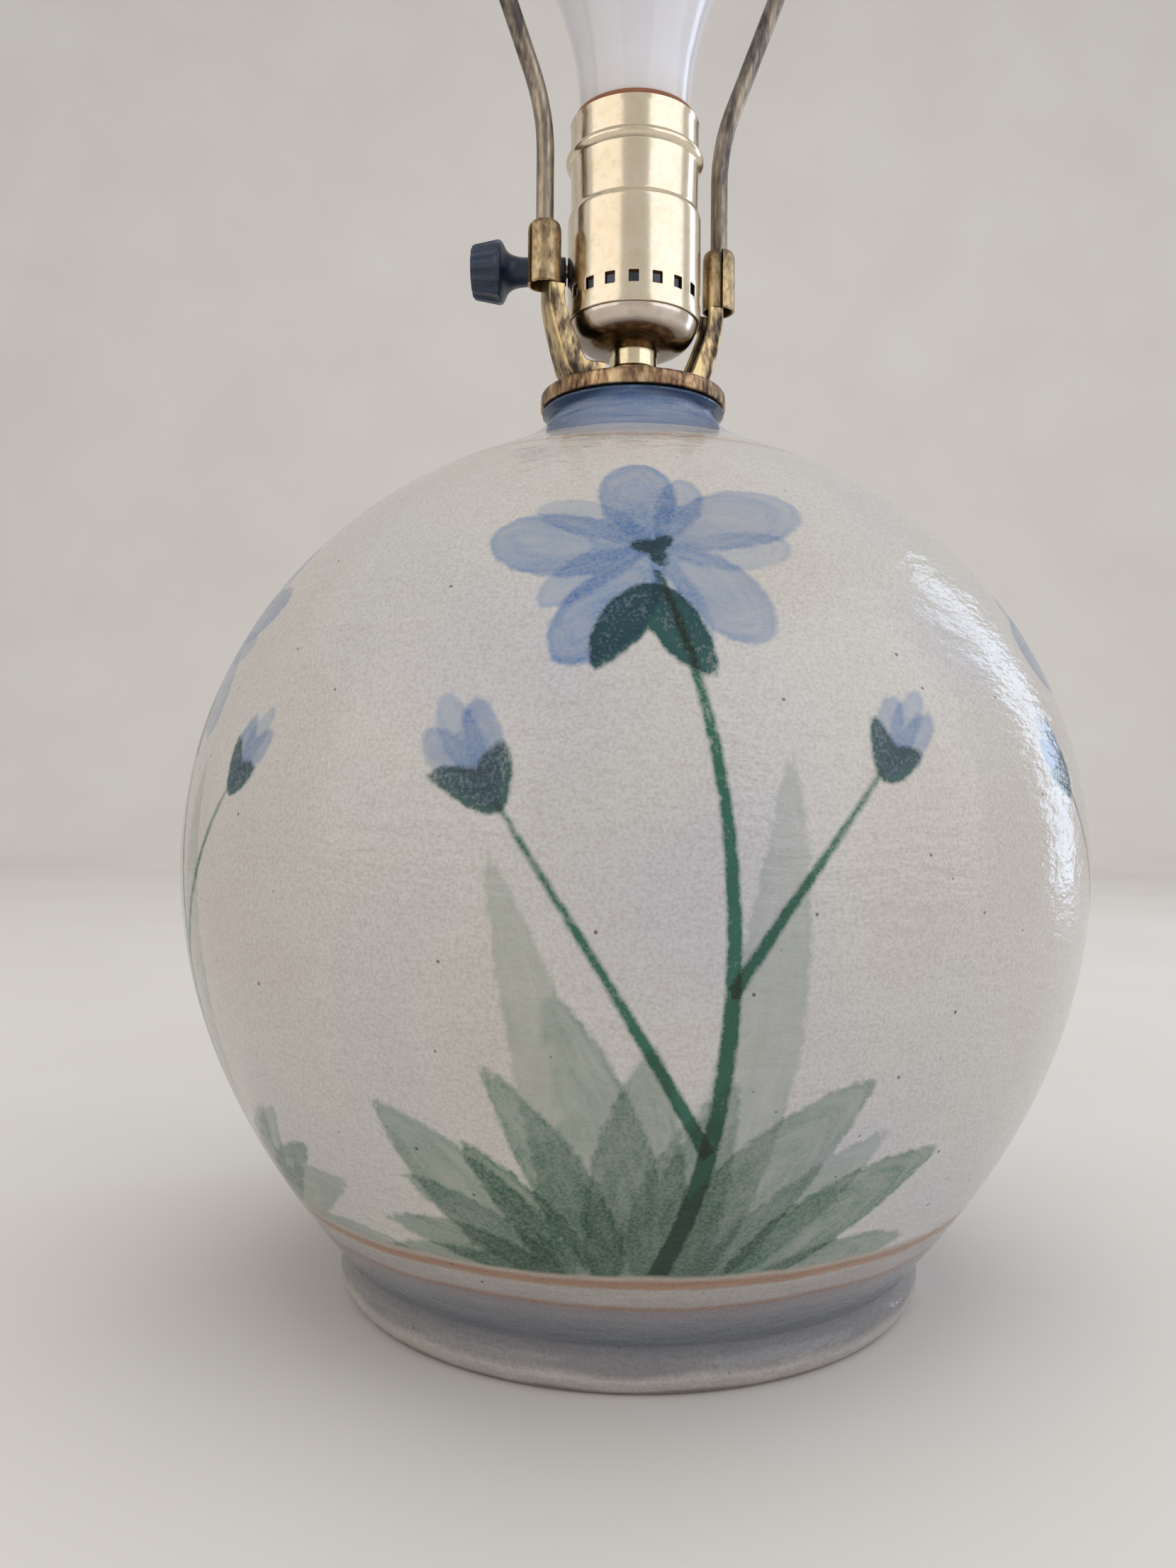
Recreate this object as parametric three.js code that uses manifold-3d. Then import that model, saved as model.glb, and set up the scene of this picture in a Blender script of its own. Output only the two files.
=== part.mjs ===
// A ceramic table lamp: a thrown round pot, a brass vase cap, a turn-knob socket on a threaded pipe,
// an opal bulb, and a detachable harp with its two sleeves, its swivelling stud and its finial.
// Millimetres, +Z up, with the origin on the table at the centre of the foot.
import * as THREE from "three";
import { mergeVertices } from "three/addons/utils/BufferGeometryUtils.js";
import Module from "manifold-3d";

const wasm = await Module();
wasm.setup();

// Fits that the whole lamp shares
const seatGap = 0.3; // between two pieces that touch
const runningGap = 0.4; // between two pieces that slide or turn in each other
const cutOverrun = 2; // how far a cutter stands past what it cuts
const weldDistance = 0.001;

// Pot
const footRadius = 71;
const footRingWidth = 13;
const recessDepth = 16;
const recessDraft = 2;
const potFloor = 8.5;
const flangeHeight = 9.5;
const flangeOverhang = 2.2;
const flangeNotch = 1.4;
const bellyRadius = 111.5;
const bellyHeight = 104;
const lowerBellyPullShare = 0.49;
const shoulderRise = 109;
const shoulderEndShare = 0.9174; // of the shoulder's rise, where the fairing starts
const neckRadius = 22;
const neckRise = 15;
const lipFlare = 1.8;
const lipRise = 2;
const lipRound = 0.8;
const potWall = 7;
const potFloorFillet = 9;
const filletRiseShare = 0.3; // of the fillet's width, up to the wall
const potSides = 36;

// Cord way through the back of the foot
const cordHoleHeight = 9.5;
const bushingBore = 3.4;
const bushingWall = 0.8;
const bushingLip = 0.9;
const bushingLipThickness = 1.3;
const bushingStandOut = 4.5;

// Threaded pipe and what clamps it under the floor
const pipeRadius = 4.85;
const pipeBore = 3.3;
const pipeFootDrop = 9.5; // below the recess ceiling
const washerRadius = 13;
const washerThickness = 1.2;
const lockWasherRadius = 8.2;
const lockWasherThickness = 0.9;
const lockWasherSplit = 0.9;
const nutAcrossFlats = 14.3;
const baseNutThickness = 3.4;
const checkNutThickness = 3.4;
const nutChamfer = 0.7;

// Vase cap
const capRadius = 24.2;
const capHeight = 4.4;
const capSheet = 1.1;
const capHemWidth = 2.5;
const capEdgeRound = 1.3;

// Saddle, a stamped channel that carries the harp
const saddleSheet = 1.1;
const saddleDiscRadius = 11;
const saddleArmWidth = 8;
const saddleFootWidth = 10.4;
const saddleArmDepth = 4.2;
const saddleArmOverlap = 1.4; // of an arm's foot on the disc
const saddleFlatReach = 20;
const saddleKneeRise = 19; // from the sheet's underside to the upper bend
const saddleLowerBend = 6;
const saddleUpperBend = 7;
const tongueWidth = 5.8;
const tongueHeight = 12.5; // above the sleeve's bottom
const harpTurnDegrees = 21.2;

// Socket cap
const hubRadius = 6.25;
const hubHeight = 4.6;
const domeHeight = 7;
const domeSheet = 0.8;
const domeEdgeLedge = 0.4;
const capRimHeight = 7.5;
const capRimSheet = 0.4;
const setScrewRadius = 1.5;
const setScrewStandOut = 1.3;
const setScrewSlotWidth = 0.5;

// Socket shell
const shellRadius = 17.5;
const shellSheet = 0.5;
const shellLowerHeight = 27.1;
const shellShoulder = 1.4;
const shellMidRadius = 16.7;
const beadCentreRise = 42.6;
const beadHeight = 3.5;
const beadStandOut = 1;
const shellRimRadius = 16.9;
const shellHeight = 52.1;
const crimpCount = 18;
const crimpWidth = 2.5;
const crimpHeight = 3;
const crimpRise = 4.6;
const shaftNotchClear = 0.6;

// Insulating liner
const linerSheet = 0.6;
const linerStandOut = 1.9;
const linerFootRise = 1.4;

// Socket body with its switch
const bodyGap = 0.6; // to the liner
const bodyFootClear = 2.4; // wiring room over the dome
const bodyHeight = 24.4;
const bodyFootChamfer = 2.6;
const bodyFootInset = 4.4;
const terminalFlat = 11;
const terminalFlatWidth = 12;
const terminalFlatHeight = 15;
const terminalRise = 8;
const terminalRadius = 3.1;
const terminalThickness = 1.7;
const terminalSlotWidth = 0.8;
const terminalSlotDepth = 0.8;
const shaftBoreDepth = 6;

// Lamp thread, drawn as rings
const threadPitch = 3.6;
const threadDepth = 0.7;
const threadTurns = 4;
const screwShellBore = 13.6; // at the crests that stand inwards
const screwShellSheet = 0.45;
const screwShellLipRadius = 8;
const screwShellHeight = 26;
const contactRadius = 3.6;
const contactHeight = 1.8;
const contactButtonRadius = 2.2;

// Knob and its shaft, measured out from the lamp's axis
const knobRise = 14.7; // above the shell's bottom edge
const shaftRadius = 1.6;
const shaftEndInKnob = 36;
const knobStemRadius = 3.65;
const knobFlareStart = 28.6;
const knobShoulder = 34.6;
const knobShoulderRadius = 8;
const knobFaceRadius = 6.7;
const knobFaceEdge = 42.2;
const knobEnd = 43;
const knobEdgeRound = 0.8;
const fluteCount = 14;
const fluteDepth = 0.55;

// Bulb
const tipRadius = 4.3;
const tipHeight = 1.6;
const insulatorFootRadius = 5;
const insulatorRadius = 9.6;
const insulatorConeHeight = 2.9;
const insulatorRimHeight = 1.4;
const baseCrestRadius = 13.15;
const baseSheet = 0.5;
const baseCollarHeight = 2.6;
const baseHeight = 21.6;
const neckTubeLength = 6;
const glassSheet = 1;
const glassFootRadius = 13.7;
const glassNeckRadius = 14.5;
const glassNeckRise = 5.7;
const globeRadius = 33.5;
const globeCentreRise = 71.7; // above the glass foot
const globeTopRise = 35;
const neckPullShare = 0.485;
const globePullShare = 0.21;

// Harp
const harpLegRadius = 24.6; // from the lamp's axis to a leg
const wireRadius = 2.25;
const lapGap = 0.3;
const legFootRise = 2; // above the sleeve's bottom
const legBendRise = 34; // above the sleeve's bottom
const legBendLength = 22;
const legSplayDegrees = 21;
const legStraightLength = 40;
const harpSidePull = 66;
const crownPull = 42;
const harpHeight = 205; // from the sleeve's bottom to the crown
const wireSides = 8;
const wireSteps = 48;
const crownBossRadius = 6.5;
const crownBossHeight = 5.2;

// Harp sleeves
const sleeveRadius = 4.3;
const sleeveSheet = 0.7;
const sleeveHeight = 16;
const sleeveFootRise = 6.4; // above the upper bend of the saddle
const sleeveShoulder = 2.6;
const sleeveSlot = 1.1;

// Shade stud and finial
const studRadius = 3;
const rivetRadius = 5.4;
const rivetHeight = 2.4;
const seatPlateRadius = 9.5;
const seatPlateThickness = 1.8;
const seatRimWidth = 2.2; // the raised ring that a shade lies on
const seatRimRise = 0.3;
const studLength = 12;
const studChamfer = 0.7;
const finialFootRadius = 6.6;
const finialFootHeight = 2.4;
const finialWaistRadius = 4.6;
const finialWaistHeight = 5;
const finialBallRadius = 7.6;
const finialTipRadius = 2.5;
const finialTipHeight = 4.6;

// Fineness of round pieces
const wideSides = 28;
const middleSides = 18;
const smallSides = 12;

// Sizes that follow from the ones above
const recessRadius = footRadius - footRingWidth;
const recessCeilingRadius = recessRadius - recessDraft;
const potFloorTop = recessDepth + potFloor;
const potWallFoot = potFloorTop + potFloorFillet * filletRiseShare;
const pipeHole = pipeRadius + seatGap;
const shoulderEndHeight = bellyHeight + shoulderRise * shoulderEndShare;
const neckHeight = shoulderEndHeight + neckRise;
const lipHeight = neckHeight + lipRise;
const bodyFootRadius = footRadius + flangeOverhang - flangeNotch;
const capFoot = lipHeight + seatGap;
const capTop = capFoot + capHeight;
const saddleFoot = capTop + seatGap;
const saddleTop = saddleFoot + saddleSheet;
const upperWasherFoot = saddleTop + seatGap;
const checkNutFoot = upperWasherFoot + lockWasherThickness + seatGap;
const hubFoot = checkNutFoot + checkNutThickness + seatGap;
const hubTop = hubFoot + hubHeight;
const domeTop = hubTop + domeHeight;
const shellFoot = domeTop + seatGap;
const shellTop = shellFoot + shellHeight;
const shellMidBore = shellMidRadius - shellSheet;
const linerRadius = shellMidBore - seatGap;
const linerBore = linerRadius - linerSheet;
const capRimRadius = shellRadius - shellSheet - seatGap;
const bodyFoot = hubTop + domeSheet + bodyFootClear;
const bodyTop = bodyFoot + bodyHeight;
const bodyRadius = linerBore - bodyGap;
const knobHeight = shellFoot + knobRise;
const shaftNotch = shaftRadius + shaftNotchClear;
const contactFoot = bodyTop + seatGap;
const bulbFoot = contactFoot + contactHeight + seatGap;
const insulatorFoot = bulbFoot + tipHeight + seatGap;
const baseFoot = insulatorFoot + insulatorConeHeight;
const glassFoot = baseFoot + baseHeight + seatGap;
const sleeveFoot = saddleFoot + saddleKneeRise + sleeveFootRise;
const tongueTop = sleeveFoot + tongueHeight;
const crownHeight = sleeveFoot + harpHeight;
const studBore = studRadius + runningGap;
const studPlateFoot = crownHeight + crownBossHeight / 2 + seatGap;
const finialFoot = studPlateFoot + seatPlateThickness - seatRimRise + seatGap;

// Turns a closed geometry into a solid that can be cut and joined.
function toSolid(geometry) {
  const plain = geometry.index ? geometry.toNonIndexed() : geometry.clone();
  plain.deleteAttribute("normal");
  plain.deleteAttribute("uv");
  const welded = mergeVertices(plain, weldDistance);
  const corners = welded.index.array;
  const kept = [];
  for (let i = 0; i < corners.length; i += 3) {
    const [a, b, c] = [corners[i], corners[i + 1], corners[i + 2]];
    if (a !== b && b !== c && c !== a) kept.push(a, b, c);
  }
  const mesh = new wasm.Mesh({
    numProp: 3,
    vertProperties: welded.attributes.position.array,
    triVerts: new Uint32Array(kept),
  });
  return new wasm.Manifold(mesh);
}

// Gives a solid back as a geometry that a mesh can hold.
function toGeometry(solid) {
  const { vertProperties, triVerts } = solid.getMesh();
  const geometry = new THREE.BufferGeometry();
  geometry.setAttribute("position", new THREE.BufferAttribute(vertProperties, 3));
  geometry.setIndex(new THREE.BufferAttribute(triVerts, 1));
  geometry.computeVertexNormals();
  return geometry;
}

// A named mesh of its own material, set on its foot height.
function piece(name, solid, colour, roughness, metalness, height = 0) {
  const material = new THREE.MeshStandardMaterial({ color: colour, roughness, metalness });
  const mesh = new THREE.Mesh(toGeometry(solid), material);
  mesh.name = name;
  mesh.position.z = height;
  return mesh;
}

// Revolves radius and height pairs round Z. A profile with an edge on the axis starts and ends there,
// and one that stays off the axis closes on itself.
function turnedGeometry(profile, sides) {
  const points = profile.map(([radius, height]) => new THREE.Vector2(radius, height));
  const start = points.findIndex((point, i) => point.x === 0 && points.at(i - 1).x === 0);
  const opened = start < 0 ? [...points, points[0]] : [...points.slice(start), ...points.slice(0, start)];
  const geometry = new THREE.LatheGeometry(opened, sides);
  geometry.rotateX(Math.PI / 2);
  return geometry;
}

function turned(profile, sides) {
  return toSolid(turnedGeometry(profile, sides));
}

// A box between two corners.
function block(low, high) {
  const size = high.map((value, axis) => value - low[axis]);
  const geometry = new THREE.BoxGeometry(...size);
  geometry.translate(...high.map((value, axis) => (value + low[axis]) / 2));
  return toSolid(geometry);
}

// A rod along X, Y or Z from one distance to another on that axis.
function rod(axis, radius, from, to, sides) {
  const geometry = new THREE.CylinderGeometry(radius, radius, to - from, sides);
  geometry.translate(0, (from + to) / 2, 0);
  if (axis === "x") geometry.rotateZ(-Math.PI / 2);
  if (axis === "z") geometry.rotateX(Math.PI / 2);
  return toSolid(geometry);
}

// The same solid turned about Z.
function spun(solid, degrees) {
  return solid.rotate([0, 0, degrees]);
}

function regularShape(radius, sides, startDegrees = 0) {
  const points = [];
  for (let i = 0; i < sides; i++) {
    const angle = THREE.MathUtils.degToRad(startDegrees + (i * 360) / sides);
    points.push(new THREE.Vector2(radius * Math.cos(angle), radius * Math.sin(angle)));
  }
  return new THREE.Shape(points);
}

// Points and outward normals along a curve in the radius and height plane.
function samples(curve, steps, skipFirst) {
  const found = [];
  for (let i = skipFirst ? 1 : 0; i <= steps; i++) {
    const point = curve.getPointAt(i / steps);
    const along = curve.getTangentAt(i / steps);
    found.push({ point, normal: new THREE.Vector2(along.y, -along.x) });
  }
  return found;
}

// The pot's outside is three curves: a swelling lower belly, an elliptical shoulder that starts level
// with the widest point, and a hollow fairing that runs tangent from the shoulder up into the neck.
function potBodySamples() {
  const pull = flangeHeight + (bellyHeight - flangeHeight) * lowerBellyPullShare;
  const lower = new THREE.QuadraticBezierCurve(
    new THREE.Vector2(bodyFootRadius, flangeHeight),
    new THREE.Vector2(bellyRadius, pull),
    new THREE.Vector2(bellyRadius, bellyHeight),
  );
  const shoulderAngle = Math.asin(shoulderEndShare);
  const shoulder = new THREE.EllipseCurve(0, bellyHeight, bellyRadius, shoulderRise, 0, shoulderAngle);
  const shoulderEnd = shoulder.getPoint(1);
  const fallPerRise = (bellyRadius * shoulderEndShare) / (shoulderRise * Math.cos(shoulderAngle));
  const meeting = shoulderEndHeight + (shoulderEnd.x - neckRadius) / fallPerRise;
  const fairing = new THREE.QuadraticBezierCurve(
    shoulderEnd,
    new THREE.Vector2(neckRadius, meeting),
    new THREE.Vector2(neckRadius, neckHeight),
  );
  return [...samples(lower, 7, false), ...samples(shoulder, 9, true), ...samples(fairing, 4, true)];
}

// The pot is one fired piece, given as two closed solids: its foot with the floor, and its wall.
function makePot() {
  const body = potBodySamples();
  const flangeRadius = footRadius + flangeOverhang;
  const foot = [
    [recessRadius, 0],
    [footRadius, 0],
    [footRadius + flangeOverhang * 0.65, flangeHeight * 0.18],
    [flangeRadius, flangeHeight * 0.5],
    [flangeRadius - flangeNotch * 0.2, flangeHeight * 0.82],
  ];
  const outside = body.map(({ point }) => [point.x, point.y]);
  const bore = neckRadius - potWall;
  const lip = [
    [neckRadius + lipFlare, lipHeight - lipRound],
    [neckRadius + lipFlare - lipRound / 2, lipHeight],
    [bore + lipRound, lipHeight],
    [bore, lipHeight - lipRound],
  ];
  const inside = [];
  for (let i = body.length - 1; i >= 0; i -= 2) {
    const { point, normal } = body[i];
    const radius = point.x - potWall * normal.x;
    const height = point.y - potWall * normal.y;
    if (height > potFloorTop + potFloorFillet / 2) inside.push([radius, height]);
  }
  const wallFootRadius = inside.at(-1)[0] - (inside.at(-1)[1] - potFloorTop) * 0.45;
  const floor = [
    [wallFootRadius, potWallFoot],
    [wallFootRadius - potFloorFillet, potFloorTop],
    [pipeHole, potFloorTop],
    [pipeHole, recessDepth],
    [recessCeilingRadius - recessDraft, recessDepth],
    [recessCeilingRadius, recessDepth - recessDraft],
  ];
  const profile = [...foot, ...outside, ...lip, ...inside, ...floor];
  const holeRadius = bushingBore + bushingWall + seatGap;
  const cordHole = rod("y", holeRadius, recessCeilingRadius - cutOverrun, bellyRadius, smallSides);
  const whole = turned(profile, potSides).subtract(cordHole.translate([0, 0, cordHoleHeight]));
  return [
    piece("pot", whole.trimByPlane([0, 0, 1], potWallFoot + seatGap), 0xd3cfc9, 0.32, 0),
    piece("pot_foot", whole.trimByPlane([0, 0, -1], -potWallFoot), 0xd3cfc9, 0.32, 0),
  ];
}

function makeCordBushing() {
  const inner = recessCeilingRadius;
  const lipFace = bodyFootRadius + bushingStandOut;
  const outer = lipFace + bushingLipThickness;
  const tubeRadius = bushingBore + bushingWall;
  const profile = [
    [bushingBore, inner],
    [tubeRadius, inner],
    [tubeRadius, lipFace],
    [tubeRadius + bushingLip, lipFace],
    [tubeRadius + bushingLip, outer - bushingLipThickness / 3],
    [tubeRadius, outer],
    [bushingBore, outer],
  ];
  const geometry = turnedGeometry(profile, smallSides);
  geometry.rotateX(-Math.PI / 2);
  return piece("cord_bushing", toSolid(geometry), 0x2a2725, 0.6, 0, cordHoleHeight);
}

function makePipe() {
  const foot = recessDepth - pipeFootDrop;
  const top = hubTop + domeSheet + seatGap * 2;
  const profile = [
    [pipeBore, foot],
    [pipeRadius, foot],
    [pipeRadius, top],
    [pipeBore, top],
  ];
  return piece("threaded_pipe", turned(profile, middleSides), 0xa89878, 0.45, 0.9);
}

function washerSolid(radius, thickness) {
  const profile = [
    [pipeHole, 0],
    [radius, 0],
    [radius, thickness],
    [pipeHole, thickness],
  ];
  return turned(profile, middleSides);
}

// A spring washer is a flat ring with one saw cut.
function lockWasherSolid() {
  const cutter = block(
    [0, -lockWasherSplit / 2, -cutOverrun],
    [lockWasherRadius + cutOverrun, lockWasherSplit / 2, lockWasherThickness + cutOverrun],
  );
  return washerSolid(lockWasherRadius, lockWasherThickness).subtract(cutter);
}

// A hexagon with both faces chamfered by a double cone.
function nutSolid(thickness) {
  const cornerRadius = nutAcrossFlats / Math.sqrt(3);
  const shape = regularShape(cornerRadius, 6);
  const hole = regularShape(pipeHole, middleSides);
  shape.holes.push(new THREE.Path(hole.getPoints().reverse()));
  const hexagon = toSolid(new THREE.ExtrudeGeometry(shape, { depth: thickness, bevelEnabled: false }));
  const chamfered = [
    [0, 0],
    [cornerRadius - nutChamfer, 0],
    [cornerRadius, nutChamfer / 2],
    [cornerRadius, thickness - nutChamfer / 2],
    [cornerRadius - nutChamfer, thickness],
    [0, thickness],
  ];
  return hexagon.intersect(turned(chamfered, middleSides));
}

function makeBaseHardware() {
  const washerFoot = recessDepth - seatGap - washerThickness;
  const lockFoot = washerFoot - seatGap - lockWasherThickness;
  const nutFoot = lockFoot - seatGap - baseNutThickness;
  return [
    piece("base_washer", washerSolid(washerRadius, washerThickness), 0x9c9a94, 0.5, 0.9, washerFoot),
    piece("base_lock_washer", lockWasherSolid(), 0x8d8a84, 0.5, 0.9, lockFoot),
    piece("base_nut", nutSolid(baseNutThickness), 0xb49a5c, 0.4, 0.9, nutFoot),
  ];
}

// A spun brass cap: a hem rolled in at its foot, a soft edge and a nearly flat crown.
function makeVaseCap() {
  const crownFall = capSheet / 4;
  const profile = [
    [capRadius - capHemWidth, 0],
    [capRadius, 0],
    [capRadius, capHeight - crownFall - capEdgeRound],
    [capRadius - capEdgeRound * 0.35, capHeight - crownFall - capEdgeRound * 0.35],
    [capRadius - capEdgeRound, capHeight - crownFall],
    [capRadius / 2, capHeight],
    [pipeHole, capHeight],
    [pipeHole, capHeight - capSheet],
    [capRadius - capHemWidth - capSheet, capHeight - crownFall - capSheet],
    [capRadius - capHemWidth, capHeight - crownFall - capSheet * 2],
  ];
  return piece("vase_cap", turned(profile, wideSides), 0x8a6f42, 0.42, 0.9, capFoot);
}

// One arm of the saddle: a channel with its flanges towards the socket, swept out along the cap,
// up round a bend, out along a slant and up into the tongue that the sleeve covers.
function saddleArm() {
  const half = saddleArmWidth / 2;
  const innerHalf = tongueWidth / 2;
  const section = new THREE.Shape([
    new THREE.Vector2(0, -half),
    new THREE.Vector2(0, half),
    new THREE.Vector2(-saddleArmDepth, half),
    new THREE.Vector2(-saddleArmDepth, innerHalf),
    new THREE.Vector2(-saddleSheet, innerHalf),
    new THREE.Vector2(-saddleSheet, -innerHalf),
    new THREE.Vector2(-saddleArmDepth, -innerHalf),
    new THREE.Vector2(-saddleArmDepth, -half),
  ]);
  const uprightRadius = harpLegRadius - lapGap / 2;
  const start = new THREE.Vector3(saddleDiscRadius - saddleArmOverlap, 0, saddleFoot);
  const lowerKnee = new THREE.Vector3(saddleFlatReach, 0, saddleFoot);
  const upperKnee = new THREE.Vector3(uprightRadius, 0, saddleFoot + saddleKneeRise);
  const end = new THREE.Vector3(uprightRadius, 0, tongueTop);
  const slant = upperKnee.clone().sub(lowerKnee).normalize();
  const lowerIn = lowerKnee.clone().setX(lowerKnee.x - saddleLowerBend);
  const lowerOut = lowerKnee.clone().addScaledVector(slant, saddleLowerBend);
  const upperIn = upperKnee.clone().addScaledVector(slant, -saddleUpperBend);
  const upperOut = upperKnee.clone().setZ(upperKnee.z + saddleUpperBend / 2);
  const path = new THREE.CurvePath();
  path.add(new THREE.LineCurve3(start, lowerIn));
  path.add(new THREE.QuadraticBezierCurve3(lowerIn, lowerKnee, lowerOut));
  path.add(new THREE.LineCurve3(lowerOut, upperIn));
  path.add(new THREE.QuadraticBezierCurve3(upperIn, upperKnee, upperOut));
  path.add(new THREE.LineCurve3(upperOut, end));
  const settings = { steps: 19, bevelEnabled: false, extrudePath: path };
  const swept = new THREE.ExtrudeGeometry(section, settings);
  const place = swept.attributes.position;
  for (let i = 0; i < place.count; i++) {
    const climbed = THREE.MathUtils.clamp((place.getZ(i) - saddleFoot) / saddleKneeRise, 0, 1);
    const width = THREE.MathUtils.lerp(saddleFootWidth, saddleArmWidth, climbed);
    place.setY(i, (place.getY(i) * width) / saddleArmWidth);
  }
  const channel = toSolid(swept);
  const flangeStop = sleeveFoot - seatGap;
  const far = harpLegRadius + cutOverrun;
  const reach = half + cutOverrun;
  const trimHigh = tongueTop + cutOverrun;
  const innerFace = uprightRadius - saddleSheet;
  const leftTrim = block([0, innerHalf - weldDistance, flangeStop], [far, reach, trimHigh]);
  const rightTrim = block([0, -reach, flangeStop], [far, weldDistance - innerHalf, trimHigh]);
  const flangeTrim = block([0, -reach, flangeStop], [innerFace - weldDistance, reach, trimHigh]);
  return channel.subtract(leftTrim).subtract(rightTrim).subtract(flangeTrim);
}

function makeSaddle() {
  const disc = washerSolid(saddleDiscRadius, saddleSheet).translate([0, 0, saddleFoot]);
  const arm = saddleArm();
  const solid = disc.add(arm).add(spun(arm, 180));
  return piece("saddle", solid, 0x8f7442, 0.45, 0.9);
}

function makeUpperHardware() {
  return [
    piece("saddle_lock_washer", lockWasherSolid(), 0x8d8a84, 0.5, 0.9, upperWasherFoot),
    piece("check_nut", nutSolid(checkNutThickness), 0xa98d52, 0.42, 0.9, checkNutFoot),
  ];
}

// Hub and dome in one: the dome is a shallow bowl whose rim stands up inside the shell.
function makeSocketCap() {
  const outerEdge = capRimRadius + domeEdgeLedge;
  const bowlSteps = 4;
  const outer = [];
  const inner = [];
  const wall = domeSheet;
  for (let i = 0; i <= bowlSteps; i++) {
    const angle = ((i / bowlSteps) * Math.PI) / 2;
    const radius = hubRadius + (outerEdge - hubRadius) * Math.sin(angle);
    const height = hubTop + domeHeight * (1 - Math.cos(angle));
    outer.push([radius, height]);
    const innerRadius = hubRadius + (capRimRadius - capRimSheet - hubRadius) * Math.sin(angle);
    const innerHeight = hubTop + wall + (domeHeight - wall / 2) * (1 - Math.cos(angle));
    inner.push([innerRadius, innerHeight]);
  }
  const rimTop = domeTop + capRimHeight;
  const profile = [
    [pipeHole, hubFoot],
    [hubRadius, hubFoot],
    ...outer,
    [capRimRadius, domeTop],
    [capRimRadius, rimTop],
    [capRimRadius - capRimSheet, rimTop],
    ...inner.reverse(),
    [pipeHole, hubTop + wall],
  ];
  const screwHole = rod("y", setScrewRadius + seatGap, 0, hubRadius + cutOverrun, smallSides);
  const holeHeight = hubFoot + hubHeight / 2;
  const solid = turned(profile, wideSides).subtract(screwHole.translate([0, 0, holeHeight]));
  return piece("socket_cap", solid, 0xb89f62, 0.32, 0.95);
}

function makeSetScrew() {
  const from = pipeHole;
  const to = hubRadius + setScrewStandOut;
  const slot = block(
    [-setScrewSlotWidth / 2, to - setScrewStandOut / 2, -setScrewRadius - cutOverrun],
    [setScrewSlotWidth / 2, to + cutOverrun, setScrewRadius + cutOverrun],
  );
  const solid = rod("y", setScrewRadius, from, to, smallSides).subtract(slot);
  return piece("hub_set_screw", solid, 0xa98d52, 0.4, 0.9, hubFoot + hubHeight / 2);
}

// A slot with a round top that lets a cover slide up off the switch shaft.
function shaftNotchCutter(outerRadius, foot) {
  const inner = -outerRadius - cutOverrun;
  const rise = knobHeight - foot;
  const channel = block([inner, -shaftNotch, -cutOverrun], [0, shaftNotch, rise]);
  const roundTop = rod("x", shaftNotch, inner, 0, smallSides).translate([0, 0, rise]);
  return channel.add(roundTop);
}

// The shell is spun in one: a wide skirt, a shoulder, a straight band, a bead and a short rim.
function makeSocketShell() {
  const shoulderTop = shellLowerHeight + shellShoulder;
  const beadFoot = beadCentreRise - beadHeight / 2;
  const beadTop = beadCentreRise + beadHeight / 2;
  const beadRadius = shellRimRadius + beadStandOut;
  const skirtBore = shellRadius - shellSheet;
  const rimBore = shellRimRadius - shellSheet;
  const profile = [
    [skirtBore, 0],
    [shellRadius, 0],
    [shellRadius, shellLowerHeight],
    [shellMidRadius, shoulderTop],
    [shellMidRadius, beadFoot],
    [beadRadius - beadStandOut * 0.2, beadFoot + beadHeight * 0.2],
    [beadRadius, beadCentreRise],
    [beadRadius - beadStandOut * 0.2, beadTop - beadHeight * 0.2],
    [shellRimRadius, beadTop],
    [shellRimRadius, shellHeight],
    [rimBore, shellHeight],
    [rimBore, beadTop],
    [shellMidBore, beadCentreRise],
    [shellMidBore, shoulderTop],
    [skirtBore, shellLowerHeight],
  ];
  let solid = turned(profile, wideSides).subtract(shaftNotchCutter(shellRadius, shellFoot));
  const slot = block(
    [0, -crimpWidth / 2, crimpRise],
    [shellRadius + cutOverrun, crimpWidth / 2, crimpRise + crimpHeight],
  );
  for (let i = 0; i < crimpCount; i++) {
    solid = solid.subtract(spun(slot, ((i + 0.5) * 360) / crimpCount));
  }
  return piece("socket_shell", solid, 0xd9c48c, 0.22, 0.95, shellFoot);
}

function makeLiner() {
  const foot = shellFoot + linerFootRise;
  const height = shellTop + linerStandOut - foot;
  const profile = [
    [linerBore, 0],
    [linerRadius, 0],
    [linerRadius, height],
    [linerBore, height],
  ];
  const solid = turned(profile, wideSides).subtract(shaftNotchCutter(linerRadius, foot));
  return piece("insulating_liner", solid, 0x5a3423, 0.85, 0, foot);
}

// The moulded body holds the switch: flats at both sides take the terminal screws.
function makeSocketBody() {
  const profile = [
    [0, 0],
    [bodyRadius - bodyFootInset, 0],
    [bodyRadius, bodyFootChamfer],
    [bodyRadius, bodyHeight],
    [0, bodyHeight],
  ];
  let solid = turned(profile, wideSides);
  const flat = block(
    [-terminalFlatWidth / 2, terminalFlat, -cutOverrun],
    [terminalFlatWidth / 2, bodyRadius + cutOverrun, terminalFlatHeight],
  );
  const boreEnd = shaftBoreDepth - bodyRadius;
  const shaftBore = rod("x", shaftRadius + seatGap, -bodyRadius - cutOverrun, boreEnd, smallSides);
  solid = solid.subtract(flat).subtract(spun(flat, 180));
  solid = solid.subtract(shaftBore.translate([0, 0, knobHeight - bodyFoot]));
  return piece("socket_body", solid, 0x2f2622, 0.55, 0, bodyFoot);
}

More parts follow.
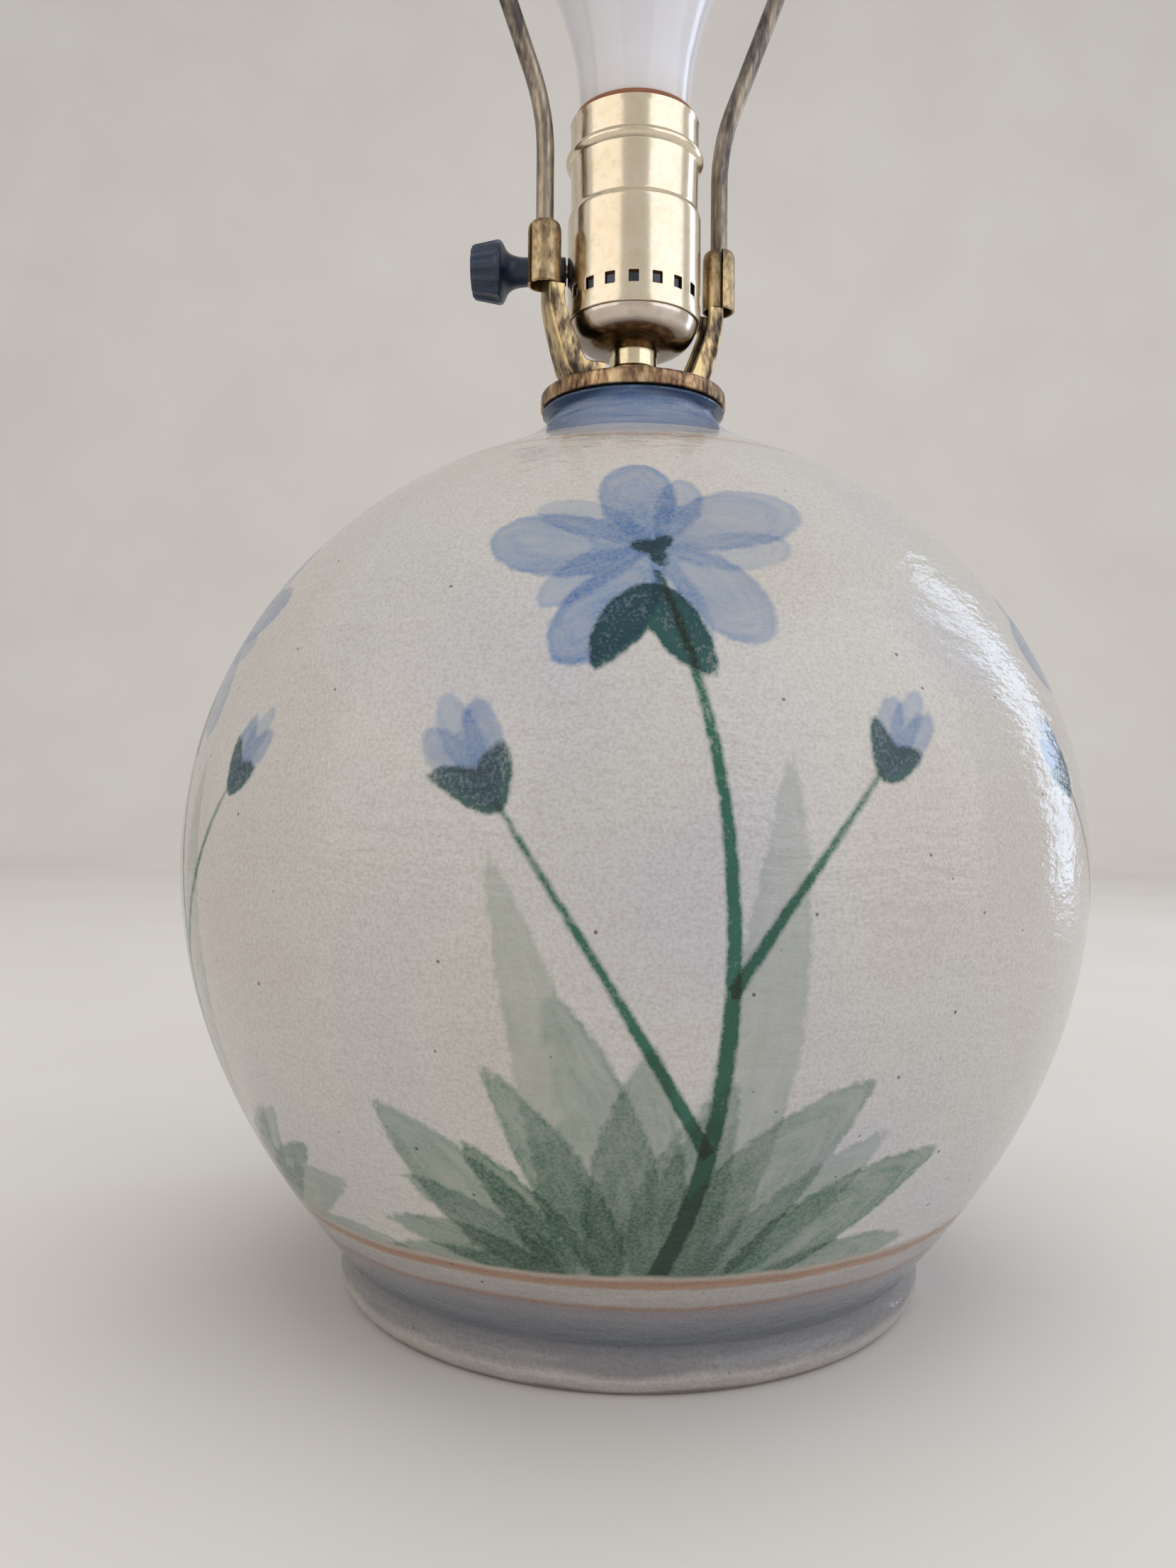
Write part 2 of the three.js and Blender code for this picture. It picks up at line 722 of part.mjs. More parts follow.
function makeTerminalScrew(name, side, colour) {
  const near = terminalFlat + seatGap;
  const far = near + terminalThickness;
  const slot = block(
    [-terminalRadius - cutOverrun, far - terminalSlotDepth, -terminalSlotWidth / 2],
    [terminalRadius + cutOverrun, far + cutOverrun, terminalSlotWidth / 2],
  );
  const head = rod("y", terminalRadius, near, far, smallSides).subtract(slot);
  return piece(name, spun(head, side), colour, 0.35, 0.95, bodyFoot + terminalRise);
}

// Ring pairs that follow a lamp thread up a tube, between its deep and its shallow radius.
function threadRings(deep, shallow, foot) {
  const rings = [];
  for (let i = 0; i < threadTurns; i++) {
    const start = foot + i * threadPitch;
    rings.push([deep, start + threadPitch * 0.25]);
    rings.push([shallow, start + threadPitch * 0.75]);
  }
  return rings;
}

function makeScrewShell() {
  const rootBore = screwShellBore + threadDepth;
  const threadFoot = screwShellSheet + threadPitch / 2;
  const outside = threadRings(rootBore + screwShellSheet, screwShellBore + screwShellSheet, threadFoot);
  const inside = threadRings(rootBore, screwShellBore, threadFoot).reverse();
  const profile = [
    [screwShellLipRadius, 0],
    [rootBore, 0],
    ...outside,
    [rootBore + screwShellSheet, screwShellHeight],
    [rootBore, screwShellHeight],
    ...inside,
    [screwShellBore, screwShellSheet],
    [screwShellLipRadius, screwShellSheet],
  ];
  return piece("screw_shell", turned(profile, middleSides), 0xc9a65a, 0.35, 0.95, contactFoot);
}

function makeCentreContact() {
  const profile = [
    [0, 0],
    [contactRadius, 0],
    [contactRadius, contactHeight / 2],
    [contactButtonRadius, contactHeight],
    [0, contactHeight],
  ];
  return piece("centre_contact", turned(profile, smallSides), 0xc2a05a, 0.35, 0.95, contactFoot);
}

// The knob is turned along its own axis and its head is fluted all round, then laid along -X.
function makeKnob() {
  const stemStart = shellRadius + runningGap;
  const boreEnd = shaftEndInKnob + seatGap;
  const flareRise = knobShoulder - knobFlareStart;
  const flareWidth = knobShoulderRadius - knobStemRadius;
  const bore = shaftRadius + seatGap;
  const profile = [
    [bore, stemStart],
    [knobStemRadius, stemStart],
    [knobStemRadius, knobFlareStart],
    [knobStemRadius + flareWidth * 0.16, knobFlareStart + flareRise * 0.5],
    [knobStemRadius + flareWidth * 0.55, knobFlareStart + flareRise * 0.85],
    [knobShoulderRadius - knobEdgeRound, knobShoulder],
    [knobShoulderRadius, knobShoulder + knobEdgeRound],
    [knobFaceRadius, knobFaceEdge],
    [knobFaceRadius - knobEdgeRound, knobFaceEdge + knobEdgeRound / 2],
    [0, knobEnd],
    [0, boreEnd],
    [bore, boreEnd],
  ];
  const geometry = turnedGeometry(profile, fluteCount * 3);
  const place = geometry.attributes.position;
  for (let i = 0; i < place.count; i++) {
    const radius = Math.hypot(place.getX(i), place.getY(i));
    const onHead = place.getZ(i) > knobShoulder && place.getZ(i) <= knobFaceEdge + weldDistance;
    if (!onHead || radius < knobFaceRadius - weldDistance) continue;
    const angle = Math.atan2(place.getY(i), place.getX(i));
    const dip = (fluteDepth * (1 - Math.cos(fluteCount * angle))) / 2;
    const shrink = (radius - dip) / radius;
    place.setX(i, place.getX(i) * shrink);
    place.setY(i, place.getY(i) * shrink);
  }
  geometry.rotateY(-Math.PI / 2);
  return piece("turn_knob", toSolid(geometry), 0x1b1d24, 0.4, 0, knobHeight);
}

function makeShaft() {
  const inner = bodyRadius - shaftBoreDepth + seatGap;
  const solid = rod("x", shaftRadius, -shaftEndInKnob, -inner, smallSides);
  return piece("switch_shaft", solid, 0xb9a06a, 0.4, 0.9, knobHeight);
}

function makeBulb() {
  const tip = [
    [0, 0],
    [tipRadius * 0.7, tipHeight * 0.15],
    [tipRadius, tipHeight * 0.6],
    [tipRadius, tipHeight],
    [0, tipHeight],
  ];
  const insulator = [
    [0, 0],
    [insulatorFootRadius, 0],
    [insulatorRadius, insulatorConeHeight],
    [insulatorRadius, insulatorConeHeight + insulatorRimHeight],
    [0, insulatorConeHeight + insulatorRimHeight],
  ];
  return [
    piece("bulb_tip_contact", turned(tip, smallSides), 0xb9bcc0, 0.35, 0.9, bulbFoot),
    piece("bulb_base_insulator", turned(insulator, middleSides), 0x16161a, 0.25, 0, insulatorFoot),
    makeBulbBase(),
    makeBulbGlass(),
  ];
}

// The threaded cap of the bulb: a thin shell with rolled rings and a plain collar at the top.
function makeBulbBase() {
  const rootRadius = baseCrestRadius - threadDepth;
  const innerEdge = insulatorRadius + seatGap;
  const foot = baseSheet;
  const outside = threadRings(baseCrestRadius, rootRadius, foot);
  const bore = rootRadius - baseSheet;
  const collarFoot = baseHeight - baseCollarHeight;
  const profile = [
    [innerEdge, 0],
    [innerEdge + baseSheet, 0],
    ...outside,
    [rootRadius, collarFoot],
    [baseCrestRadius, baseHeight],
    [bore, baseHeight],
    [bore, foot + threadPitch / 2],
    [innerEdge, foot + baseSheet],
  ];
  return piece("bulb_screw_base", turned(profile, middleSides), 0xc3c0b6, 0.3, 0.95, baseFoot);
}

// The envelope: a flared neck that runs smoothly into a globe, blown to one even thickness.
function makeBulbGlass() {
  const neckTop = new THREE.Vector2(glassNeckRadius, glassNeckRise);
  const equator = new THREE.Vector2(globeRadius, globeCentreRise);
  const span = globeCentreRise - glassNeckRise;
  const flare = new THREE.CubicBezierCurve(
    neckTop,
    new THREE.Vector2(glassNeckRadius, glassNeckRise + span * neckPullShare),
    new THREE.Vector2(globeRadius, globeCentreRise - span * globePullShare),
    equator,
  );
  const globe = new THREE.EllipseCurve(0, globeCentreRise, globeRadius, globeTopRise, 0, Math.PI / 2);
  const outer = [...samples(flare, 8, false), ...samples(globe, 6, true)];
  const top = outer.length - 1;
  const outside = outer.map(({ point }, i) => [i === top ? 0 : point.x, point.y]);
  const tubeRadius = baseCrestRadius - threadDepth - baseSheet - seatGap;
  const inside = [];
  for (let i = top; i >= 0; i -= 2) {
    const { point, normal } = outer[i];
    inside.push([i === top ? 0 : point.x - glassSheet * normal.x, point.y - glassSheet * normal.y]);
  }
  const profile = [
    [tubeRadius - glassSheet, -neckTubeLength],
    [tubeRadius, -neckTubeLength],
    [tubeRadius, 0],
    [glassFootRadius, 0],
    ...outside,
    ...inside,
    [tubeRadius - glassSheet, glassSheet],
  ];
  return piece("bulb_glass", turned(profile, wideSides), 0xe6e4ee, 0.18, 0, glassFoot);
}

// Half of the harp's centre line, from one foot up to the crown, in the plane of X and Z.
function harpHalf() {
  const splay = THREE.MathUtils.degToRad(legSplayDegrees);
  const out = new THREE.Vector3(Math.sin(splay), 0, Math.cos(splay));
  const foot = new THREE.Vector3(harpLegRadius, 0, sleeveFoot + legFootRise);
  const bendStart = new THREE.Vector3(harpLegRadius, 0, sleeveFoot + legBendRise);
  const knee = bendStart.clone().setZ(bendStart.z + legBendLength / 2);
  const bendEnd = knee.clone().addScaledVector(out, legBendLength / 2);
  const straightEnd = bendEnd.clone().addScaledVector(out, legStraightLength);
  const sidePull = straightEnd.clone().addScaledVector(out, harpSidePull);
  const crown = new THREE.Vector3(0, 0, crownHeight);
  const topPull = crown.clone().setX(crownPull);
  return [
    new THREE.LineCurve3(foot, bendStart),
    new THREE.QuadraticBezierCurve3(bendStart, knee, bendEnd),
    new THREE.LineCurve3(bendEnd, straightEnd),
    new THREE.CubicBezierCurve3(straightEnd, sidePull, topPull, crown),
  ];
}

// The same curve seen from its other end, on the other side of the lamp.
function mirroredBack(curve) {
  const flip = (point) => new THREE.Vector3(-point.x, point.y, point.z);
  if (curve.isCubicBezierCurve3) {
    return new THREE.CubicBezierCurve3(flip(curve.v3), flip(curve.v2), flip(curve.v1), flip(curve.v0));
  }
  if (curve.isQuadraticBezierCurve3) {
    return new THREE.QuadraticBezierCurve3(flip(curve.v2), flip(curve.v1), flip(curve.v0));
  }
  return new THREE.LineCurve3(flip(curve.v2), flip(curve.v1));
}

// One bent wire. Each foot is filed to a half round that laps the saddle's tongue,
// and the step above the lap rests on the tongue's end.
function makeHarp() {
  const path = new THREE.CurvePath();
  const half = harpHalf();
  half.forEach((curve) => path.add(curve));
  [...half].reverse().forEach((curve) => path.add(mirroredBack(curve)));
  const section = regularShape(wireRadius, wireSides, 180 / wireSides);
  const settings = { steps: wireSteps, bevelEnabled: false, extrudePath: path };
  const wire = toSolid(new THREE.ExtrudeGeometry(section, settings));
  const boss = rod(
    "z",
    crownBossRadius,
    crownHeight - crownBossHeight / 2,
    crownHeight + crownBossHeight / 2,
    middleSides,
  );
  const bore = rod(
    "z",
    studBore,
    crownHeight - crownBossHeight - cutOverrun,
    crownHeight + crownBossHeight + cutOverrun,
    middleSides,
  );
  const lap = block(
    [0, -wireRadius - cutOverrun, sleeveFoot - cutOverrun],
    [harpLegRadius + lapGap / 2, wireRadius + cutOverrun, tongueTop + seatGap],
  );
  const solid = wire.add(boss).subtract(bore).subtract(lap).subtract(spun(lap, 180));
  return piece("harp", solid, 0x7d6439, 0.42, 0.9);
}

// A sleeve is rolled from sheet, so it has an open seam, and its top is drawn in round the wire.
function makeSleeve(name, legDegrees, seamDegrees) {
  const bore = sleeveRadius - sleeveSheet;
  const wireHole = wireRadius + runningGap;
  const shoulderFoot = sleeveHeight - sleeveShoulder;
  const profile = [
    [bore, 0],
    [sleeveRadius, 0],
    [sleeveRadius, shoulderFoot],
    [sleeveRadius - sleeveSheet, sleeveHeight - sleeveShoulder * 0.3],
    [wireHole + sleeveSheet / 2, sleeveHeight],
    [wireHole, sleeveHeight],
    [wireHole, sleeveHeight - sleeveSheet],
    [bore - sleeveSheet, sleeveHeight - sleeveShoulder * 0.3 - sleeveSheet],
    [bore, shoulderFoot - sleeveSheet / 2],
  ];
  const seam = block(
    [0, -sleeveSlot / 2, -cutOverrun],
    [sleeveRadius + cutOverrun, sleeveSlot / 2, sleeveHeight + cutOverrun],
  );
  const solid = spun(turned(profile, smallSides).subtract(spun(seam, seamDegrees)), legDegrees);
  const sleeve = piece(name, solid, 0x94793f, 0.4, 0.9, sleeveFoot);
  sleeve.position.x = legDegrees === 0 ? harpLegRadius : -harpLegRadius;
  return sleeve;
}

// The stud turns in the harp's crown. A peened head holds it from below and a plate seats a shade.
function makeShadeStud() {
  const rivetFoot = crownHeight - crownBossHeight / 2 - seatGap - rivetHeight;
  const plateTop = studPlateFoot + seatPlateThickness;
  const studTop = plateTop + studLength;
  const profile = [
    [0, rivetFoot],
    [rivetRadius * 0.7, rivetFoot],
    [rivetRadius, rivetFoot + rivetHeight / 2],
    [rivetRadius, rivetFoot + rivetHeight],
    [studRadius, rivetFoot + rivetHeight],
    [studRadius, studPlateFoot],
    [seatPlateRadius, studPlateFoot],
    [seatPlateRadius, plateTop],
    [seatPlateRadius - seatRimWidth, plateTop],
    [seatPlateRadius - seatRimWidth - seatRimRise, plateTop - seatRimRise],
    [studRadius, plateTop - seatRimRise],
    [studRadius, studTop - studChamfer],
    [studRadius - studChamfer, studTop],
    [0, studTop],
  ];
  return piece("shade_stud", turned(profile, middleSides), 0x94793f, 0.4, 0.9);
}

function makeFinial() {
  const boreEnd = studLength + seatGap;
  const waistTop = finialFootHeight + finialWaistHeight;
  const ballCentre = waistTop + finialBallRadius * 0.85;
  const ball = [];
  const ballSteps = 5;
  for (let i = 0; i <= ballSteps; i++) {
    const angle = THREE.MathUtils.degToRad(-52 + (i * 122) / ballSteps);
    const height = ballCentre + finialBallRadius * Math.sin(angle);
    ball.push([finialBallRadius * Math.cos(angle), height]);
  }
  const tipFoot = ball.at(-1)[1];
  const profile = [
    [0, boreEnd],
    [studBore, boreEnd],
    [studBore, 0],
    [finialFootRadius, 0],
    [finialFootRadius, finialFootHeight],
    [finialWaistRadius, finialFootHeight + finialWaistHeight * 0.3],
    [finialWaistRadius, waistTop],
    ...ball,
    [finialTipRadius, tipFoot + finialTipHeight * 0.35],
    [finialTipRadius * 0.7, tipFoot + finialTipHeight * 0.8],
    [0, tipFoot + finialTipHeight],
  ];
  return piece("finial", turned(profile, middleSides), 0x94793f, 0.38, 0.9, finialFoot);
}

const lamp = new THREE.Group();
lamp.add(...makePot(), makeCordBushing(), makePipe(), ...makeBaseHardware());
lamp.add(makeVaseCap(), ...makeUpperHardware());
lamp.add(makeSocketCap(), makeSetScrew(), makeSocketShell(), makeLiner(), makeSocketBody());
lamp.add(makeTerminalScrew("terminal_screw_brass", 0, 0xc9a65a));
lamp.add(makeTerminalScrew("terminal_screw_silver", 180, 0xc4c6c8));
lamp.add(makeScrewShell(), makeCentreContact());
lamp.add(makeKnob(), makeShaft(), ...makeBulb());

// The harp, its saddle and all they carry stand in one plane, turned a little from the knob's.
const harpPlane = new THREE.Group();
harpPlane.rotation.z = THREE.MathUtils.degToRad(harpTurnDegrees);
harpPlane.add(makeSaddle(), makeHarp());
harpPlane.add(makeSleeve("right_sleeve", 0, 180), makeSleeve("left_sleeve", 180, 0));
harpPlane.add(makeShadeStud(), makeFinial());
lamp.add(harpPlane);

export default lamp;
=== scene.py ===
"""A thrown ceramic table lamp: painted pot, brass vase cap, turn-knob socket, opal bulb and harp.

Every shape is worked out in millimetres and turns into metres when its mesh is made.
"""

import bmesh
import bpy
import numpy as np
from mathutils import Matrix, Vector


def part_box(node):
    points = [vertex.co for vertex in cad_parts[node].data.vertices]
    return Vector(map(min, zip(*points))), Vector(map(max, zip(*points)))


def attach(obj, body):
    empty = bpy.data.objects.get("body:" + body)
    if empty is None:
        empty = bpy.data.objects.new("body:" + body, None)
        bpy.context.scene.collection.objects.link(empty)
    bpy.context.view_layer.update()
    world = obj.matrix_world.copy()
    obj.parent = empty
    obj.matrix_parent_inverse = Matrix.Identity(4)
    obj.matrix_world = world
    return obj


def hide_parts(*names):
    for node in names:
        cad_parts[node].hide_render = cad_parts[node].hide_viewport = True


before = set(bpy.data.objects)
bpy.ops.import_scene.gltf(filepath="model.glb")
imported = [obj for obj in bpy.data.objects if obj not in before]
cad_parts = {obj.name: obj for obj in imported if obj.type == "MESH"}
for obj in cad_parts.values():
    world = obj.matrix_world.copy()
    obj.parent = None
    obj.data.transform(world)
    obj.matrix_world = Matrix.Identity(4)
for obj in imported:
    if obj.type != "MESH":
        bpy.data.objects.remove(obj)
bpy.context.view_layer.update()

# Studio. A matt painted board curves up behind the lamp. A tall narrow window and a wide soft
# light stand at its right, weaker soft lights fill from the left and from above. The camera is a
# short lens held low and close, aimed a little to the left and leaning slightly.
scene = bpy.context.scene
scene.view_settings.view_transform = "Standard"


def linear_colour(hex_text):
    """sRGB hex to linear: c / 12.92 below 0.04045, and ((c + 0.055) / 1.055) ^ 2.4 above it."""
    channels = np.array([int(hex_text[i : i + 2], 16) for i in (1, 3, 5)]) / 255
    curve = ((channels + 0.055) / 1.055) ** 2.4
    return (*np.where(channels <= 0.04045, channels / 12.92, curve).tolist(), 1.0)


def set_inputs(tree, node, values):
    """Links a node's inputs, by name or number, or sets their values. A text is an sRGB colour."""
    for key, value in values.items():
        if isinstance(value, bpy.types.NodeSocket):
            tree.links.new(value, node.inputs[key])
        else:
            value = linear_colour(value) if isinstance(value, str) else value
            node.inputs[key].default_value = value


def add_node(tree, kind, *inputs, stops=(), **named):
    """Adds one node and returns its outputs. Unnamed inputs fill the ones in use in order. A name
    in lower case is the node's own property. A ramp's stops hold a hex colour, or a number for
    grey."""
    node = tree.nodes.new(kind if kind.startswith("NodeGroup") else "ShaderNode" + kind)
    for key in [key for key in named if key.islower()]:
        setattr(node, key, named.pop(key))
    in_use = [i for i, socket in enumerate(node.inputs) if socket.enabled]
    set_inputs(tree, node, dict(zip(in_use, inputs, strict=False)) | named)
    for i, (place, colour) in enumerate(stops):
        elements = node.color_ramp.elements
        element = elements[i] if i < len(elements) else elements.new(place)
        element.position = place
        element.color = linear_colour(colour) if isinstance(colour, str) else (*[colour] * 3, 1.0)
    return node.outputs


def start_material(name, values):
    """A material, its tree, its shader with these plain values, and Object coordinates in mm."""
    material = bpy.data.materials.new(name)
    material.use_nodes = True
    tree = material.node_tree
    shader = tree.nodes["Principled BSDF"]
    set_inputs(tree, shader, values)
    metres = add_node(tree, "TexCoord")["Object"]
    scaled = add_node(tree, "VectorMath", metres, Scale=1000.0, operation="SCALE")
    return material, tree, shader, scaled[0]


def soft_light(name, place, aim, width, height, power, hue, shiny):
    """A flat light that faces its aim. One that is not shiny lights surfaces but is not
    mirrored."""
    light = bpy.data.lights.new(name, "AREA")
    light.shape = "RECTANGLE"
    light.size = width
    light.size_y = height
    light.energy = power
    light.color = linear_colour(hue)[:3]
    holder = bpy.data.objects.new(name, light)
    facing = (Vector(aim) - Vector(place)).to_track_quat("-Z", "Y")
    holder.matrix_world = Matrix.Translation(place) @ facing.to_matrix().to_4x4()
    holder.visible_glossy = shiny
    scene.collection.objects.link(holder)


camera_place = (0, -0.3096, 0.1213)
yaw, pitch, roll = np.radians([-2.04, 0.44, 0.45])
forward = Vector((np.sin(yaw) * np.cos(pitch), np.cos(yaw) * np.cos(pitch), np.sin(pitch)))
level_right = forward.cross(Vector((0, 0, 1))).normalized()
level_up = level_right.cross(forward)
right = level_right * np.cos(roll) + level_up * np.sin(roll)
up = right.cross(forward)
camera = bpy.data.objects.new("camera", bpy.data.cameras.new("camera"))
camera.data.sensor_fit = "VERTICAL"
camera.data.sensor_height = 36
camera.data.lens = 27.03
camera.data.clip_start = 0.01
axes = Matrix((right, up, -forward)).transposed().to_4x4()
camera.matrix_world = Matrix.Translation(camera_place) @ axes
scene.collection.objects.link(camera)
scene.camera = camera

lamp_middle = (0, 0, 0.17)
soft_light("window", (1.13, 0.65, 0.6), (0, 0, 0.55), 0.3, 1.25, 2.9, "#d6e8ff", True)
soft_light("right_soft", (1.7, -1.0, 1.1), lamp_middle, 2.4, 2.2, 16, "#f2f5ff", True)
soft_light("left_soft", (-1.5, -1.2, 1.0), lamp_middle, 2.0, 1.8, 7.5, "#fff4e8", True)
soft_light("top_soft", (0.1, -0.1, 1.9), lamp_middle, 1.8, 1.8, 9, "#ffffff", False)
scene.world = bpy.data.worlds.new("pale_room")
scene.world.use_nodes = True
room = scene.world.node_tree.nodes["Background"]
room.inputs["Color"].default_value = linear_colour("#efedea")
room.inputs["Strength"].default_value = 0.68


def grid_faces(index):
    """Four-cornered faces between neighbouring rows and columns of a table of point numbers."""
    return np.stack([index[:-1, :-1], index[:-1, 1:], index[1:, 1:], index[1:, :-1]], axis=-1)


board_front = -2.2
board_half_width = 3.0
board_depth = 1.5
board_bend = 0.6
board_rise = 2.6
board_gap = 0.0002
bend = np.linspace(0, np.pi / 2, 24)
board_side = np.vstack(
    [
        [[board_front, 0]],
        np.stack([board_depth + board_bend * np.sin(bend), board_bend * (1 - np.cos(bend))], 1),
        [[board_depth + board_bend, board_rise]],
    ]
)
across = np.linspace(-board_half_width, board_half_width, 7)
board_points = np.stack(
    np.broadcast_arrays(across, board_side[:, :1], board_side[:, 1:] - board_gap), axis=-1
)
board_mesh = bpy.data.meshes.new("board")
board_index = np.arange(len(board_side) * len(across)).reshape(len(board_side), -1)
board_mesh.from_pydata(
    board_points.reshape(-1, 3).tolist(), [], grid_faces(board_index).reshape(-1, 4).tolist()
)
board_mesh.shade_smooth()
board = bpy.data.objects.new("board", board_mesh)
scene.collection.objects.link(board)

# Matt emulsion on board: no gloss, and a very slight unevenness from the roller.
paint, tree, shader, place = start_material("matt emulsion board", {"Roughness": 0.9})
uneven = add_node(tree, "TexNoise", Vector=place, Scale=1 / 180)
tone = add_node(tree, "ValToRGB", uneven["Fac"], stops=[(0.3, "#dedad6"), (0.7, "#e2dfdb")])
set_inputs(tree, shader, {"Base Color": tone["Color"]})
board_mesh.materials.append(paint)

# Pot. A round jar thrown in grey-white stoneware on a turned foot ring, with a short neck cut
# level for the cap. Semi-matt glaze covers all but the recess, over brushed blue and green oxides
# and a banded foot. Outside it follows a swelling curve, an ellipse and a hollow fairing.
foot_radius = 73.2
recess_depth = 16.0
recess_radius = 56.0
recess_mouth = 58.0
belly_foot = (foot_radius - 1.4, 9.5)
belly_radius = 111.5
belly_height = 104.0
belly_pull = belly_foot[1] + (belly_height - belly_foot[1]) * 0.49
shoulder_rise = 109.0
shoulder_end_share = 0.9174
neck_radius = 22.0
neck_rise = 15.0
lip_rise = 2.0
pot_wall = 7.0
pipe_hole = 5.15
floor_top = 24.5
cord_hole_height = 9.5
cord_hole_radius = 4.35
wall_step = 1.65
pot_columns = 432


def quadratic(start, pull, end, count):
    """The curve (1 - t)^2 start + 2 t (1 - t) pull + t^2 end at even steps of t."""
    t = np.linspace(0, 1, count)[:, None]
    start, pull, end = np.array(start), np.array(pull), np.array(end)
    return (1 - t) ** 2 * start + 2 * t * (1 - t) * pull + t**2 * end


def arc_lengths(points):
    """Length along a line of points, from its first point to each one."""
    return np.r_[0, np.cumsum(np.linalg.norm(np.diff(points, axis=0), axis=1))]


def even_steps(points, spacing):
    """New points along the same line, all about one spacing apart."""
    points = np.asarray(points, float)
    lengths = arc_lengths(points)
    wanted = np.linspace(0, lengths[-1], max(2, round(lengths[-1] / spacing) + 1))
    return np.stack([np.interp(wanted, lengths, column) for column in points.T], axis=1)


def ellipse_arc(width, middle, height, angle):
    """Points at (width cos a, middle + height sin a)."""
    return np.stack([width * np.cos(angle), middle + height * np.sin(angle)], axis=1)


def left_normals(path):
    """Unit normals on the left of a line of points: (-dz, dx) over the length of (dx, dz)."""
    along = np.gradient(path, axis=0)
    return np.stack([-along[:, 1], along[:, 0]], axis=1) / np.linalg.norm(along, axis=1)[:, None]


def nearest(values, wanted):
    """Number of the value that lies nearest to the wanted one."""
    return int(np.argmin(np.abs(values - wanted)))


def around_z(radius, angle, height):
    """Points round Z, the angle counted from the front: x = r sin a, y = -r cos a, z = height."""
    return np.stack(
        np.broadcast_arrays(radius * np.sin(angle), -radius * np.cos(angle), height), axis=-1
    )


def revolved(outline, columns):
    """Carries an outline of (radius, height) points round Z in even steps."""
    outline = np.asarray(outline, float)
    return around_z(outline[:, :1], np.arange(columns) * 2 * np.pi / columns, outline[:, 1:])


def closed_faces(rows, columns, ring=False, start=0):
    """Faces of a grid that closes round its columns, and in a ring round its rows too."""
    index = start + np.arange(rows * columns).reshape(rows, columns)
    index = np.vstack([index, index[:1]]) if ring else index
    return grid_faces(np.hstack([index, index[:, :1]]))


def new_piece(name, points, faces, material):
    """A smooth mesh object from points in mm and faces, linked into the scene."""
    mesh = bpy.data.meshes.new(name)
    mesh.from_pydata((np.asarray(points) / 1000).tolist(), [], faces)
    mesh.shade_smooth()
    mesh.materials.append(material)
    piece = bpy.data.objects.new(name, mesh)
    scene.collection.objects.link(piece)
    return piece


def add_values(piece, name, values):
    """Stores a number or a vector with every point of a mesh, for its material to read."""
    kind, field = ("FLOAT", "value") if values.ndim == 1 else ("FLOAT_VECTOR", "vector")
    attribute = piece.data.attributes.new(name, kind, "POINT")
    attribute.data.foreach_set(field, values.astype(np.float32).ravel())


shoulder_angle = np.linspace(0, np.arcsin(shoulder_end_share), 300)
shoulder = ellipse_arc(belly_radius, belly_height, shoulder_rise, shoulder_angle)
fall_per_rise = belly_radius * np.tan(shoulder_angle[-1]) / shoulder_rise
neck_pull = (neck_radius, shoulder[-1, 1] + (shoulder[-1, 0] - neck_radius) / fall_per_rise)
neck_top = (neck_radius, shoulder[-1, 1] + neck_rise)
wall = even_steps(
    np.vstack(
        [
            quadratic(belly_foot, (belly_radius, belly_pull), (belly_radius, belly_height), 300),
            shoulder[1:], quadratic(shoulder[-1], neck_pull, neck_top, 120)[1:],
        ]
    ),
    wall_step,
)
lip_top = neck_top[1] + lip_rise
foot_side = even_steps(
    [
        (foot_radius - 2.2, 0.1), (foot_radius - 1.3, 0.8), (foot_radius - 0.4, 2.2),
        (foot_radius, 3.8), (foot_radius - 0.1, 5.0), (foot_radius - 0.7, 6.3),
        (foot_radius - 1.2, 7.6),
    ],
    1.0,
)
lip = [
    (neck_radius + 0.4, neck_top[1] + 0.35), (neck_radius + 1.35, neck_top[1] + 0.9),
    (neck_radius + 1.75, lip_top - 0.8), (neck_radius + 1.7, lip_top - 0.3),
    (neck_radius + 1.3, lip_top), (neck_radius - pot_wall + 0.8, lip_top),
    (neck_radius - pot_wall, lip_top - 0.8),
]
lining = (wall + pot_wall * left_normals(wall))[::-12]
lining = lining[lining[:, 1] > floor_top + 4.5]
floor_edge = lining[-1, 0] - (lining[-1, 1] - floor_top) * 0.45
recess_side = np.stack(
    [np.linspace(recess_radius, recess_mouth, 15), np.linspace(recess_depth - 2, 0.5, 15)], axis=1
)
outline = np.vstack(
    [
        foot_side, wall, lip, lining,
        [(floor_edge, floor_top + 2.7), (floor_edge - 4, floor_top + 0.6)],
        [(floor_edge - 9, floor_top), (pipe_hole, floor_top), (pipe_hole, recess_depth)],
        [(18, recess_depth), (36, recess_depth), (recess_radius - 2, recess_depth)],
        [(recess_radius - 0.6, recess_depth - 0.6)], recess_side,
        [(recess_mouth + 0.4, 0.1), (recess_mouth + 1, 0), (65, 0), (foot_radius - 2.8, 0)],
    ]
)
pot_grid = revolved(outline, pot_columns)
wall_rows = slice(len(foot_side), len(foot_side) + len(wall))


